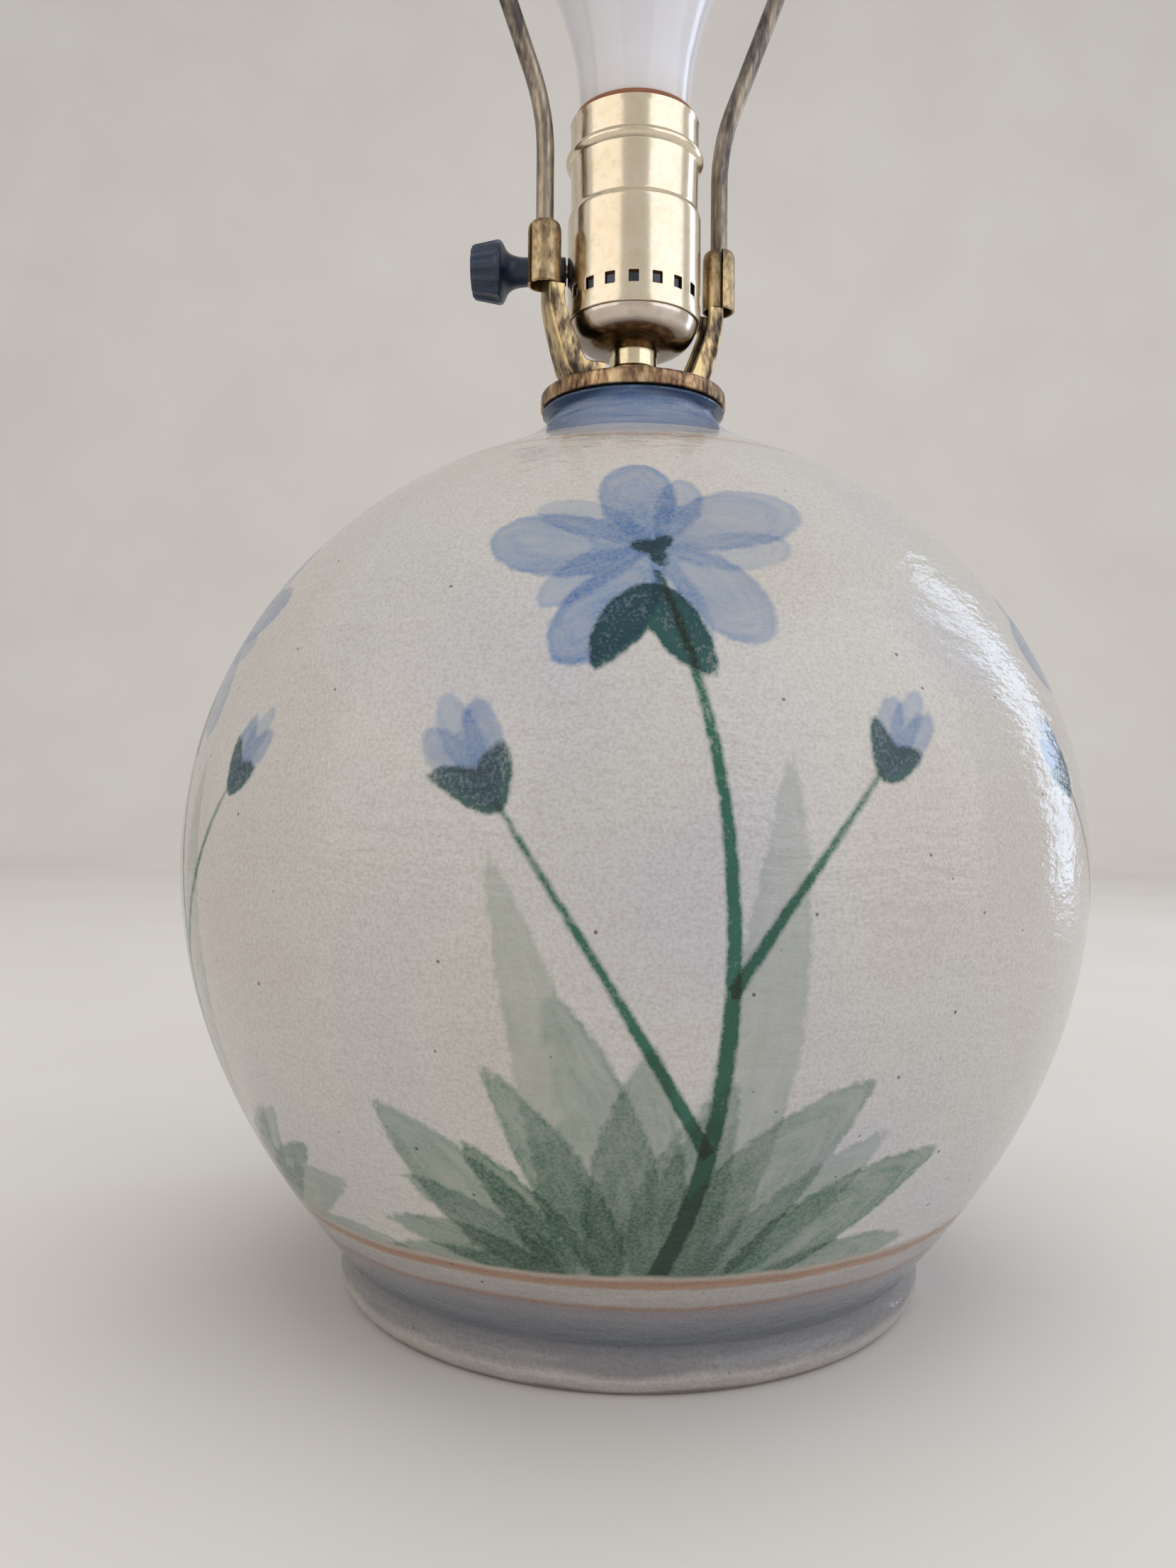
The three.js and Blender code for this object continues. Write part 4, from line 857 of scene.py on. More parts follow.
def split_washer(node):
    """A ring with one saw cut at its side: the section is carried round from one face of the cut
    to the other, and rises a little on the way as a sprung washer does."""
    low, high = extent(node)
    spring = washer_spring / 2
    section = ring_section(pipe_hole, high[1], low[2] + spring, high[2] - spring, 0.2)
    angle = np.radians(90 + np.linspace(saw_cut / 2, 360 - saw_cut / 2, 90))[:, None]
    return around_z(section[:, 0], angle, section[:, 1] + np.linspace(-spring, spring, 90)[:, None])


def hexagon_nut(node):
    """Radius over the flats is half / cos of the angle from the nearest flat's middle, and both
    ends are cut by a 30 degree cone, so the chamfer dips where the corners stand out."""
    low, high = extent(node)
    columns = 120
    turn = np.arange(columns) * 2 * np.pi / columns
    half = nut_flats / 2
    from_flat = np.mod(turn, np.pi / 3) - np.pi / 6
    r = half / np.cos(from_flat)
    cone = half * nut_chamfer_share
    dip = (r - cone) * np.tan(np.radians(30))
    rows = [
        (pipe_hole, low[2] + 0.3), (pipe_hole + 0.4, low[2]), (cone, low[2]), (r, low[2] + dip),
        (r, high[2] - dip), (cone, high[2]), (pipe_hole + 0.4, high[2]), (pipe_hole, high[2] - 0.3),
    ]
    return np.stack([around_z(radius, turn, z) for radius, z in rows])


# Cast and turned brass that has aged in a room: a brown film over gold, worn through in streaks
# and where hands and tools have rubbed it.
def aged_brass(name, film, film_end, gold, wear, stretch):
    """Brown film to gold by streaky noise; wear moves the balance to gold, and so does the mesh's
    own stored value, which holds wear and painted light where a piece has one. stretch squeezes the
    pattern along each axis so that streaks follow the part."""
    brass, tree, shader, place = start_material(name, {"Metallic": 1.0})
    drawn = add_node(tree, "Mapping", Vector=place, Scale=stretch)
    worn_and_lit = add_node(tree, "TexNoise", Vector=drawn[0], Scale=1 / 4.5, Detail=5.0, Roughness=0.62)
    fine = add_node(tree, "TexNoise", Vector=drawn[0], Scale=1 / 0.9, Detail=3.0)
    both = add_node(tree, "Mix", 0.3, worn_and_lit["Fac"], fine["Fac"])
    worn_and_lit = add_node(tree, "Attribute", attribute_name="worn_and_lit")["Fac"]
    balance = add_node(tree, "Math", worn_and_lit, 0.16, both[0], operation="MULTIPLY_ADD")
    tone = add_node(
        tree, "ValToRGB", balance[0],
        stops=[(0.4 - wear, film), (0.5 - wear, film_end), (0.62 - wear, gold)],
    )
    dulled = add_node(tree, "MapRange", balance[0], 0.4 - wear, 0.62 - wear, 0.5, 0.3)
    relief = add_node(tree, "Bump", Distance=0.00003, Height=fine["Fac"])
    set_inputs(tree, shader, {"Base Color": tone["Color"], "Roughness": dulled["Result"]})
    set_inputs(tree, shader, {"Normal": relief["Normal"]})
    return brass


worn_brass = aged_brass(
    "aged brass, rubbed gold", "#5a4a38", "#8a7352", "#c9b07c", 0.03, (1.0, 1.0, 1.0)
)

for name, grid, ends, material, node, finish in (
    ("under_floor_washer", flat_washer("base_washer"), "ring", steel, "base_washer", "steel"),
    (
        "under_floor_spring_washer", split_washer("base_lock_washer"), "flat", steel,
        "base_lock_washer", "steel",
    ),
    ("under_floor_nut", hexagon_nut("base_nut"), "ring", worn_brass, "base_nut", "aged_brass"),
    (
        "saddle_spring_washer", split_washer("saddle_lock_washer"), "flat", steel,
        "saddle_lock_washer", "steel",
    ),
    ("saddle_check_nut", hexagon_nut("check_nut"), "ring", worn_brass, "check_nut", "aged_brass"),
):
    piece = shaped_piece(name, [(grid, ends)], material, 25)
    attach(piece, "base")
    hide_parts(node)

# Vase cap. A shallow disc of sheet brass spun over a former, with a soft shoulder and its edge
# hemmed inwards. It covers the pot's mouth, and the saddle stands on it.
cap_radius = 24.2
cap_sheet = 1.1
cap_hem = 2.5
cap_foot, cap_top = foot_and_top("vase_cap")
cap_fall = cap_sheet / 4


def turned(name, outline, columns, material, sharp_degrees=40, ends="open"):
    """One piece from an outline of (radius, height) points carried round Z."""
    return shaped_piece(name, [(revolved(outline, columns), ends)], material, sharp_degrees)


cap_outline = rounded(
    [
        (cap_radius - cap_hem, cap_foot), (cap_radius, cap_foot), (cap_radius, cap_top - cap_fall),
        (cap_radius / 2, cap_top), (pipe_hole, cap_top), (pipe_hole, cap_top - cap_sheet),
        (cap_radius - cap_hem - cap_sheet, cap_top - cap_fall - cap_sheet),
        (cap_radius - cap_hem, cap_top - cap_fall - cap_sheet * 2),
    ],
    [0.3, 0.6, 1.3, 6.0, 0.2, 0.2, 0.6, 0.3], 6,
)
cap_brass = aged_brass(
    "aged brass, spun cap", "#43342f", "#96785c", "#dcc298", 0.0, (0.8, 0.8, 0.3)
)
cap = turned("brass_vase_cap", cap_outline, 160, cap_brass, ends="ring")
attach(cap, "base")
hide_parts("vase_cap")

# Saddle. A strip of brass sheet stamped into a channel that opens towards the socket, flat round
# the pipe and bent up at both ends. At the top only its web goes on, as a tongue that the harp's
# foot laps and the sleeve covers.
harp_turn = np.radians(21.2)
saddle_sheet = 1.1
disc_radius = 11.0
disc_inset = 0.03
arm_width = 8.0
arm_foot_width = 10.4
arm_depth = 4.2
arm_foot_deepening = 0.45
worn_and_lit_share = 0.25
flat_reach = 18.8
knee_rise = 19.0
lower_bend = 6.0
upper_bend = 7.0
tongue_width = 5.8
leg_radius = 24.6
lap_gap = 0.3
seat_gap = 0.3
saddle_foot, tongue_top = foot_and_top("saddle")
sleeve_foot = foot_and_top("right_sleeve")[0]


def in_harp_plane(grid, half_turn=False):
    """Turns points about Z into the harp's plane, or on by half a turn to its other side."""
    angle = harp_turn + (np.pi if half_turn else 0)
    c, s = np.cos(angle), np.sin(angle)
    x, y, z = np.moveaxis(grid, -1, 0)
    return np.stack([x * c - y * s, x * s + y * c, z], axis=-1)


def swept(path, section):
    """Carries a section along a path in the plane of X and Z. The section's first value goes along
    the path's left normal (-tz, 0, tx), and its second along Y. section is one outline or one per
    row."""
    normal = left_normals(path)
    depth, side = np.moveaxis(np.broadcast_to(section, (len(path), *section.shape[-2:])), -1, 0)
    x = path[:, :1] + normal[:, :1] * depth
    z = path[:, 1:] + normal[:, 1:] * depth
    return np.stack([x, side, z], axis=-1)


upright = leg_radius - lap_gap / 2
lower_knee = np.array([flat_reach, saddle_foot])
upper_knee = np.array([upright, saddle_foot + knee_rise])
slant = (upper_knee - lower_knee) / np.linalg.norm(upper_knee - lower_knee)
arm_path = even_steps(
    np.vstack(
        [
            [(disc_radius - 1.4, saddle_foot)],
            quadratic(
                lower_knee - [lower_bend, 0], lower_knee, lower_knee + slant * lower_bend, 24
            ),
            quadratic(
                upper_knee - slant * upper_bend, upper_knee, upper_knee + [0, upper_bend / 2], 24
            ),
            [(upright, tongue_top)],
        ]
    ),
    0.45,
)
half, inner_half = arm_width / 2, tongue_width / 2
channel = rounded(
    [
        (0, -half), (0, half), (arm_depth, half), (arm_depth, inner_half),
        (saddle_sheet, inner_half), (saddle_sheet, -inner_half), (arm_depth, -inner_half),
        (arm_depth, -half),
    ],
    [0.9, 0.9, 0.35, 0.35, 0.4, 0.4, 0.35, 0.35], 4,
)
flange_stop = sleeve_foot - seat_gap
stop_row = int(np.searchsorted(arm_path[:, 1], flange_stop))
arm_path = np.vstack([arm_path[:stop_row], [(upright, flange_stop)] * 2, arm_path[stop_row:]])
arm_sections = np.repeat(channel[None], len(arm_path), axis=0)
climbed = np.clip((arm_path[:, 1] - saddle_foot) / knee_rise, 0, 1)[:, None]
arm_sections[..., 1] *= 1 + (arm_foot_width / arm_width - 1) * (1 - climbed)
flange = arm_sections[..., 0] > saddle_sheet
arm_sections[..., 0] *= np.where(flange, 1 + arm_foot_deepening * (1 - climbed), 1)
tongue = arm_sections[stop_row + 1 :]
tongue[..., 0] = np.minimum(tongue[..., 0], saddle_sheet)
tongue[..., 1] = np.clip(tongue[..., 1], -inner_half, inner_half)
arm_grid = swept(arm_path, arm_sections)
disc_foot, disc_top = saddle_foot + disc_inset, saddle_foot + saddle_sheet - disc_inset
saddle_brass = aged_brass(
    "aged brass, stamped saddle", "#3d3530", "#7a6955", "#d8bf8d", -0.07, (0.8, 0.8, 0.3)
)
saddle = shaped_piece(
    "brass_saddle",
    [
        (revolved(ring_section(pipe_hole, disc_radius, disc_foot, disc_top, 0.25), 96), "ring"),
        (in_harp_plane(arm_grid), "flat"), (in_harp_plane(arm_grid, True), "flat"),
    ],
    saddle_brass, 35,
)
# The value stored below leans the saddle to gold on its web face, the tips of its flanges and its
# top under the sleeves: partly wear, and partly painted light on those lit faces, while the brown
# between them reads as painted shade inside the channel.
standing = np.empty(len(saddle.data.vertices) * 3)
saddle.data.vertices.foreach_get("co", standing)
standing = standing.reshape(-1, 3) * 1000
reached = np.abs(standing[:, 0] * np.cos(harp_turn) + standing[:, 1] * np.sin(harp_turn))
web_reach = np.interp(standing[:, 2], arm_path[:, 1], arm_path[:, 0])
inset = (web_reach - reached) / arm_depth
worn_and_lit = np.clip((worn_and_lit_share - np.minimum(inset, 1 - inset)) * 6, 0, 1)
worn_and_lit = np.maximum(worn_and_lit, np.clip((standing[:, 2] - flange_stop + 4) / 3, 0, 1))
add_values(saddle, "worn_and_lit", worn_and_lit)
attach(saddle, "base")
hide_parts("saddle")

# Socket cap. A dome of thin brass sheet, drawn and polished, with a heavier hub that screws down
# the pipe and an upright rim that the shell snaps into. A set screw in the hub holds it.
hub_radius = 6.25
hub_height = 4.5
dome_rise = 7.0
dome_sheet = 0.8
rim_radius = 16.7
rim_sheet = 0.4
rim_ledge = 0.4
screw_slot = 0.5


def bright_brass(name, deep, pale, tarnish):
    """Polished sheet: a clear gold that drifts to a paler one, with faint clouds of tarnish, a
    soft roughness from handling, and hairlines so fine that they only blur what it mirrors."""
    brass, tree, shader, place = start_material(name, {"Metallic": 1.0, "Coat Weight": 0.15})
    drift = add_node(tree, "TexNoise", Vector=place, Scale=1 / 9, Detail=3.0)
    gold = add_node(tree, "ValToRGB", drift["Fac"], stops=[(0.35, deep), (0.65, pale)])
    clouds = add_node(tree, "TexNoise", Vector=place, Scale=1 / 2.4, Detail=5.0, Roughness=0.65)
    amount = add_node(tree, "MapRange", clouds["Fac"], 0.5, 0.75, 0.0, 0.4)
    tone = add_node(tree, "Mix", amount[0], gold["Color"], tarnish, data_type="RGBA")
    dulled = add_node(tree, "MapRange", clouds["Fac"], 0.3, 0.7, 0.15, 0.24)
    set_inputs(tree, shader, {"Base Color": tone[2], "Roughness": dulled["Result"]})
    return brass


shell_brass = bright_brass("polished brass sheet", "#e3d5bb", "#ecdfc9", "#cbb894")
hub_foot, rim_top = foot_and_top("socket_cap")
dome_foot = hub_foot + hub_height
dome_top = dome_foot + dome_rise
dome_profile = quadratic(
    (hub_radius + 0.6, dome_foot), (15.2, dome_foot + 0.3), (rim_radius, dome_top), 22
)
dome_under = dome_profile[::-1] + [-dome_sheet * 0.35, dome_sheet]
dome_under = dome_under[dome_under[:, 0] < rim_radius - rim_ledge - rim_sheet]
socket_cap_outline = np.vstack(
    [
        rounded(
            [
                (pipe_hole, hub_foot), (hub_radius, hub_foot), (hub_radius, dome_foot - 0.1),
                (hub_radius + 0.3, dome_foot),
            ],
            [0.3, 0.5, 0.1, 0.1],
        )[2:],
        dome_profile,
        [
            (rim_radius, rim_top - 0.1), (rim_radius - 0.1, rim_top),
            (rim_radius - rim_sheet + 0.1, rim_top), (rim_radius - rim_sheet, rim_top - 0.1),
            (rim_radius - rim_sheet, dome_top + 0.6),
        ],
        dome_under,
        [(hub_radius - 0.6, dome_foot + dome_sheet), (pipe_hole, dome_foot + dome_sheet)],
        [(pipe_hole, hub_foot + 0.4)],
    ]
)

# The dome is painted with light: pale and silvery at the top as a painted reflection, and
# grey-brown lower down as a painted reflection. Its hub is still gold, and the rim behind the
# shell's slots is dark as painted shade inside them.
dome_brass = bright_brass("brass dome with painted reflections", "#f0ece6", "#ffffff", "#c9c2ba")
tree = dome_brass.node_tree
shader = tree.nodes["Principled BSDF"]
metres = add_node(tree, "TexCoord")["Object"]
rise_here = add_node(tree, "SeparateXYZ", metres)["Z"]
share = add_node(tree, "MapRange", rise_here, hub_foot / 1000, rim_top / 1000)["Result"]
# Height tints over the dome's brass: gold hub, grey-brown painted reflection low on the dome, pale
# painted reflection higher up, and dark painted shade on the rim behind the slots.
painted_light_tints = add_node(
    tree, "ValToRGB", share,
    stops=[
        ((height - hub_foot) / (rim_top - hub_foot), hue)
        for height, hue in (
            (dome_foot - 0.3, "#f2e4c4"), (dome_foot, "#85776b"), (dome_foot + 2.6, "#8d7f74"),
            (dome_foot + 4.4, "#d6cbbf"), (dome_top + 0.6, "#ddd3c8"), (dome_top + 1.0, "#474a52"),
        )
    ],
)["Color"]
painted_light_tinted = add_node(
    tree, "Mix", 1.0, shader.inputs["Base Color"].links[0].from_socket, painted_light_tints,
    data_type="RGBA", blend_type="MULTIPLY",
)
set_inputs(tree, shader, {"Base Color": painted_light_tinted[2]})
socket_cap = turned("brass_socket_cap", socket_cap_outline, 192, dome_brass, 35, "ring")
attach(socket_cap, "base")
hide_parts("socket_cap")


def slotted_screw(node, slot, head_turn):
    """A low domed head that faces outwards along Y. Its slot is as deep as it is wide: each point
    within half of it from the slot's middle line drops by the whole of it."""
    low, high = extent(node)
    middle, size = (low + high) / 2, high - low
    radius = min(size[0], size[2]) / 2
    rows = [(0, -0.5), (radius, -0.5), (radius, 0.24), (radius - 0.12, 0.38)]
    rows += [(radius * share, 0.5 - 0.1 * share**2) for share in np.linspace(0.9, 0.0, 14)]
    grid = revolved(np.array(rows) * [1, size[1]], 96)
    aside = np.abs(grid[..., 0] * np.cos(head_turn) + grid[..., 1] * np.sin(head_turn))
    pressed = (aside < slot / 2) & (grid[..., 2] > 0)
    grid[..., 2] = np.where(pressed, np.minimum(grid[..., 2], size[1] / 2 - slot), grid[..., 2])
    return along_y(grid) * [1, np.sign(middle[1]), 1] + middle


screw_grid = slotted_screw("hub_set_screw", screw_slot, np.pi / 2)
set_screw = shaped_piece("hub_set_screw_brass", [(screw_grid, "open")], shell_brass, 35)
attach(set_screw, "base")
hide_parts("hub_set_screw")

# Socket shell. A deep drawn tube of polished brass with a ring of upright slots round its foot, a
# rolled bead near its mouth and a round-topped notch for the switch shaft. It snaps into the cap's
# rim.
shell_radius = 17.5
shell_shoulder = 16.7
shell_shoulder_foot = 27.1
shell_shoulder_top = 28.5
bead_radius = 18.1
bead_rise = 42.6
bead_height = 3.2
shell_rim_radius = 16.9
shell_sheet = 0.5
slot_foot = 4.6
slot_height = 3.0
slot_count = 18
slot_faces = 7
notch_half = 2.2
notch_top = 14.7
notch_fade = 9.0
arch_foot = 9.0
arch_fade = 6.0
edge_round = 0.08
shell_columns = 288
shell_foot, shell_top = foot_and_top("socket_shell")
shell_height = shell_top - shell_foot
bead = quadratic(
    (shell_rim_radius, bead_rise - bead_height / 2),
    (2 * bead_radius - shell_rim_radius, bead_rise),
    (shell_rim_radius, bead_rise + bead_height / 2), 15,
)
shell_line = np.vstack(
    [
        [(shell_radius - 0.05, 0.0), (shell_radius, 0.3), (shell_radius, 2.0), (shell_radius, 3.4)],
        [(shell_radius, h) for h in (slot_foot, slot_foot + 0.35, slot_foot + slot_height / 2)],
        [(shell_radius, h) for h in (slot_foot + slot_height - 0.35, slot_foot + slot_height)],
        [(shell_radius, h) for h in (arch_foot, 10.5, 12.0, 13.2, 14.0, notch_top, 18, 21, 24, 26)],
        quadratic(
            (shell_radius, shell_shoulder_foot - 0.5), (shell_radius, shell_shoulder_foot + 0.5),
            (shell_shoulder + 0.3, shell_shoulder_top - 0.4), 5,
        ),
        quadratic(
            (shell_shoulder + 0.2, shell_shoulder_top - 0.2), (shell_shoulder, shell_shoulder_top),
            (shell_shoulder, shell_shoulder_top + 0.8), 4,
        ),
        [(shell_shoulder, 33), (shell_shoulder + 0.05, 38), (shell_rim_radius, 40.4)], bead,
        [(shell_rim_radius, h) for h in (45.2, 48.0, 50.4)],
        [(shell_rim_radius, shell_height - 0.6), (shell_rim_radius + 0.15, shell_height)],
    ]
)
turn = (np.arange(shell_columns) + 0.5) * 2 * np.pi / shell_columns
columns_per_slot = shell_columns // slot_count
rise = shell_line[:, 1][:, None] + 0 * turn
radius = shell_line[:, :1] + 0 * turn
slot_face = np.mod(np.arange(shell_columns) + slot_faces // 2 + 1, columns_per_slot) < slot_faces
slot_low = nearest(shell_line[:, 1], slot_foot)
slot_high = nearest(shell_line[:, 1], slot_foot + slot_height)
shaft_turn = 1.5 * np.pi
notch_row = nearest(shell_line[:, 1], notch_top)
notch_columns = np.arange(-6, 6) + shell_columns * 3 // 4
notch_side = (turn[notch_columns] - shaft_turn) * shell_radius
widen = notch_half / notch_side[-1]
near_notch = np.arange(notch_columns[0] - 6, notch_columns[-1] + 7)
turn_grid = turn[None] + 0 * rise
eased = np.interp(
    near_notch, [near_notch[0], notch_columns[0], notch_columns[-1], near_notch[-1]], [0, 1, 1, 0]
)
below = np.clip((notch_top + notch_fade - shell_line[:, 1]) / notch_fade, 0, 1)[:, None]
stretched = shaft_turn + (turn[near_notch] - shaft_turn) * widen
turn_grid[:, near_notch] += (stretched - turn[near_notch]) * eased * below
arch = np.sqrt(np.maximum(notch_half**2 - (notch_side * widen) ** 2, 0))
arch_drop = notch_half - arch
in_reach = np.clip((shell_line[:, 1] - arch_foot) / (notch_top - arch_foot), 0, 1)
in_reach *= np.clip((notch_top + arch_fade - shell_line[:, 1]) / arch_fade, 0, 1)
rise[:, notch_columns] -= in_reach[:, None] * arch_drop
shell_grid = around_z(radius, turn_grid, shell_foot + rise)
shell_faces = closed_faces(*rise.shape)
open_faces = np.zeros(shell_faces.shape[:2], bool)
open_faces[slot_low:slot_high] = slot_face
open_faces[:notch_row, notch_columns[0] : notch_columns[-1]] = True
used, shell_faces = np.unique(shell_faces[~open_faces], return_inverse=True)
shell = new_piece(
    "brass_socket_shell", shell_grid.reshape(-1, 3)[used], shell_faces.reshape(-1, 4).tolist(),
    shell_brass,
)
thickness = shell.modifiers.new("sheet", "SOLIDIFY")
thickness.thickness = shell_sheet / 1000
thickness.offset = -1
edges = shell.modifiers.new("edges", "BEVEL")
edges.width = edge_round / 1000
edges.segments = 2
edges.limit_method = "ANGLE"
edges.angle_limit = np.radians(50)
shell.data.set_sharp_from_angle(angle=np.radians(50))
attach(shell, "base")
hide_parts("socket_shell")

# Insulating liner. A tube of thin vulcanised fibre board between the shell and the live parts. It
# stands out of the shell's mouth by its folded edge.
liner_radius = 15.9
liner_bore = 15.3

# Vulcanised fibre: red-brown, matt, with pressed fibres that run round it and a paler cut edge.
fibre, tree, shader, place = start_material("vulcanised fibre board", {"Roughness": 0.75})
pressed = add_node(tree, "Mapping", Vector=place, Scale=(0.3, 0.3, 1.0))
strands = add_node(tree, "TexNoise", Vector=pressed[0], Scale=1 / 0.8, Detail=4.0, Roughness=0.6)
tone = add_node(tree, "ValToRGB", strands["Fac"], stops=[(0.32, "#6f3f2a"), (0.66, "#93603f")])
spot = add_node(tree, "SeparateXYZ", place)
liner_foot, liner_top = foot_and_top("insulating_liner")
edge = add_node(tree, "MapRange", spot["Z"], liner_top - 1.3, liner_top - 0.2)
pale = add_node(tree, "Mix", edge["Result"], tone["Color"], "#94644a", data_type="RGBA")
relief = add_node(tree, "Bump", Distance=0.00006, Height=strands["Fac"])
set_inputs(tree, shader, {"Base Color": pale[2], "Normal": relief["Normal"]})

liner_section = ring_section(liner_bore, liner_radius, liner_foot, liner_top, 0.2, 2)
liner = turned("fibre_liner", liner_section, 160, fibre, ends="ring")
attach(liner, "base")
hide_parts("insulating_liner")

# Socket body. A moulded phenolic block with two flats for the terminal screws, a coned foot and a
# bored way for the switch shaft. It carries the screw shell.
body_radius = 14.7
body_chamfer = 2.6
body_inset = 4.4
body_flat = 11.0
body_flat_half = 6.0
body_flat_height = 15.0
body_foot, body_top = foot_and_top("socket_body")

# Phenolic moulding powder: dark brown, matt from the tool, with a faint cloud of paler filler.
phenolic, tree, shader, place = start_material("brown phenolic moulding", {"Roughness": 0.5})
filler = add_node(tree, "TexNoise", Vector=place, Scale=1 / 1.5, Detail=4.0)
tone = add_node(tree, "ValToRGB", filler["Fac"], stops=[(0.35, "#2c231d"), (0.68, "#3f332b")])
relief = add_node(tree, "Bump", Distance=0.00003, Height=filler["Fac"])
set_inputs(tree, shader, {"Base Color": tone["Color"], "Normal": relief["Normal"]})

body_side = [body_foot + body_chamfer, *np.linspace(body_foot + 3.4, body_foot + 14.6, 8)]
body_side += [body_foot + body_flat_height, body_foot + body_flat_height + 0.05, body_top - 0.5]
body_outline = [
    (0, body_foot), (body_radius - body_inset - 0.4, body_foot),
    (body_radius - body_inset, body_foot + 0.3), *[(body_radius, h) for h in body_side],
    (body_radius - 0.15, body_top - 0.15), (body_radius - 0.5, body_top), (0, body_top),
]
body_grid = revolved(body_outline, 288)
heights = body_grid[..., 2]
far = np.abs(body_grid[..., 1])
on_flat = (np.abs(body_grid[..., 0]) < body_flat_half) & (far > body_flat)
on_flat &= heights < body_foot + body_flat_height + 0.02
body_grid[..., 1] = np.where(on_flat, np.sign(body_grid[..., 1]) * body_flat, body_grid[..., 1])
socket_body = shaped_piece("phenolic_body", [(body_grid, "open")], phenolic, 35)
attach(socket_body, "base")
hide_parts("socket_body")

# Terminal screws. One brass and one zinc plated steel, each with a domed slotted head. They clamp
# the cord's two wires to the body's flats.
terminal_slot = 0.8
terminal_turn = 0.5
for name, node, material, finish in (
    ("brass_terminal_screw", "terminal_screw_brass", shell_brass, "bright_brass"),
    ("steel_terminal_screw", "terminal_screw_silver", steel, "steel"),
):
    screw_grid = slotted_screw(node, terminal_slot, terminal_turn)
    piece = shaped_piece(name, [(screw_grid, "open")], material, 35)
    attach(piece, "base")
    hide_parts(node)

# Screw shell and centre contact. Thin brass drawn with a coarse round thread that takes the bulb's
# base, with a small turned-in foot, and a rivet-like contact in its middle.
lamp_pitch = 3.6
lamp_thread_depth = 0.7
screw_bore = 13.6
screw_sheet = 0.45
screw_foot_opening = 8.0
contact_radius = 3.6
button_radius = 2.2
thread_columns = 144


def lamp_thread(crest, low, high, sheet, ease_over):
    """Rows up a round thread: crest - depth (1 - cos(2 pi (height / pitch - turn))) / 2, plain
    near both ends, and the same rows again set in by the sheet's thickness on the way down."""
    rows = int((high - low) / 0.3) + 1
    z = np.linspace(low, high, rows)[:, None]
    angle = (np.arange(thread_columns) / thread_columns)[None]
    wave = 0.5 - 0.5 * np.cos(2 * np.pi * (z / lamp_pitch - angle))
    ease = np.clip((z - low) / ease_over, 0, 1) * np.clip((high - z) / ease_over, 0, 1)
    r = crest - lamp_thread_depth * wave * ease
    turn = 2 * np.pi * angle
    return around_z(r, turn, z), around_z(r - sheet, turn, z)[::-1]


screw_foot, screw_top = foot_and_top("screw_shell")
out, back = lamp_thread(screw_bore + screw_sheet, screw_foot + 1.6, screw_top, screw_sheet, 2.5)
foot_out = revolved(
    [
        (screw_foot_opening, screw_foot), (screw_bore - 0.6, screw_foot),
        (screw_bore + 0.3, screw_foot + 0.5),
    ],
    thread_columns,
)
foot_in = revolved(
    [
        (screw_bore - 0.2, screw_foot + 0.8), (screw_bore - 0.8, screw_foot + screw_sheet),
        (screw_foot_opening, screw_foot + screw_sheet),
    ],
    thread_columns,
)
screw_shell = shaped_piece(
    "brass_screw_shell", [(np.vstack([foot_out, out, back, foot_in]), "ring")], shell_brass, 45
)
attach(screw_shell, "base")
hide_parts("screw_shell")

contact_foot, contact_top = foot_and_top("centre_contact")
contact_outline = [
    (0, contact_foot), (contact_radius - 0.1, contact_foot), (contact_radius, contact_foot + 0.1),
    (contact_radius, contact_foot + 0.5), (contact_radius - 0.2, contact_foot + 0.75),
    (button_radius + 0.3, contact_foot + 0.9), (button_radius, contact_foot + 1.2),
    (button_radius - 0.1, contact_top - 0.2), (button_radius - 0.6, contact_top - 0.02),
    (0, contact_top),
]
contact = turned("brass_centre_contact", contact_outline, 64, shell_brass)
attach(contact, "base")
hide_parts("centre_contact")

# Switch shaft and turn knob. A brass rod comes out of the socket's side through the shell's notch,
# and a moulded dark blue plastic knob with a fluted crown is pressed on its end. They turn as one.
knob_stem_radius = 3.65
knob_flare_start = 28.6
knob_shoulder = 34.6
knob_shoulder_radius = 8.0
knob_face_radius = 6.7
knob_face_edge = 42.2
flute_count = 14
columns_per_flute = 24
flute_depth = 0.55
shaft_gap = 0.3
knob_low, knob_high = extent("turn_knob")
shaft_low, shaft_high = extent("switch_shaft")
knob_height = (shaft_low[2] + shaft_high[2]) / 2
shaft_radius = (shaft_high[2] - shaft_low[2]) / 2
stem_start, knob_end = -knob_high[0], -knob_low[0]
knob_bore = shaft_radius + shaft_gap
bore_end = -shaft_low[0] + shaft_gap


def along_minus_x(grid, height):
    """Lays a shape turned round Z down along -X at a height: its own height becomes -X."""
    return np.stack([-grid[..., 2], grid[..., 1], height - grid[..., 0]], axis=-1)


shaft_outline = [
    (0, -shaft_high[0]), (shaft_radius - 0.3, -shaft_high[0]), (shaft_radius, -shaft_high[0] + 0.3),
    (shaft_radius, -shaft_low[0] - 0.3), (shaft_radius - 0.3, -shaft_low[0]), (0, -shaft_low[0]),
]
shaft_grid = along_minus_x(revolved(shaft_outline, 48), knob_height)
shaft = shaped_piece("brass_switch_shaft", [(shaft_grid, "open")], worn_brass, 30)
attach(shaft, "knob")
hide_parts("switch_shaft")

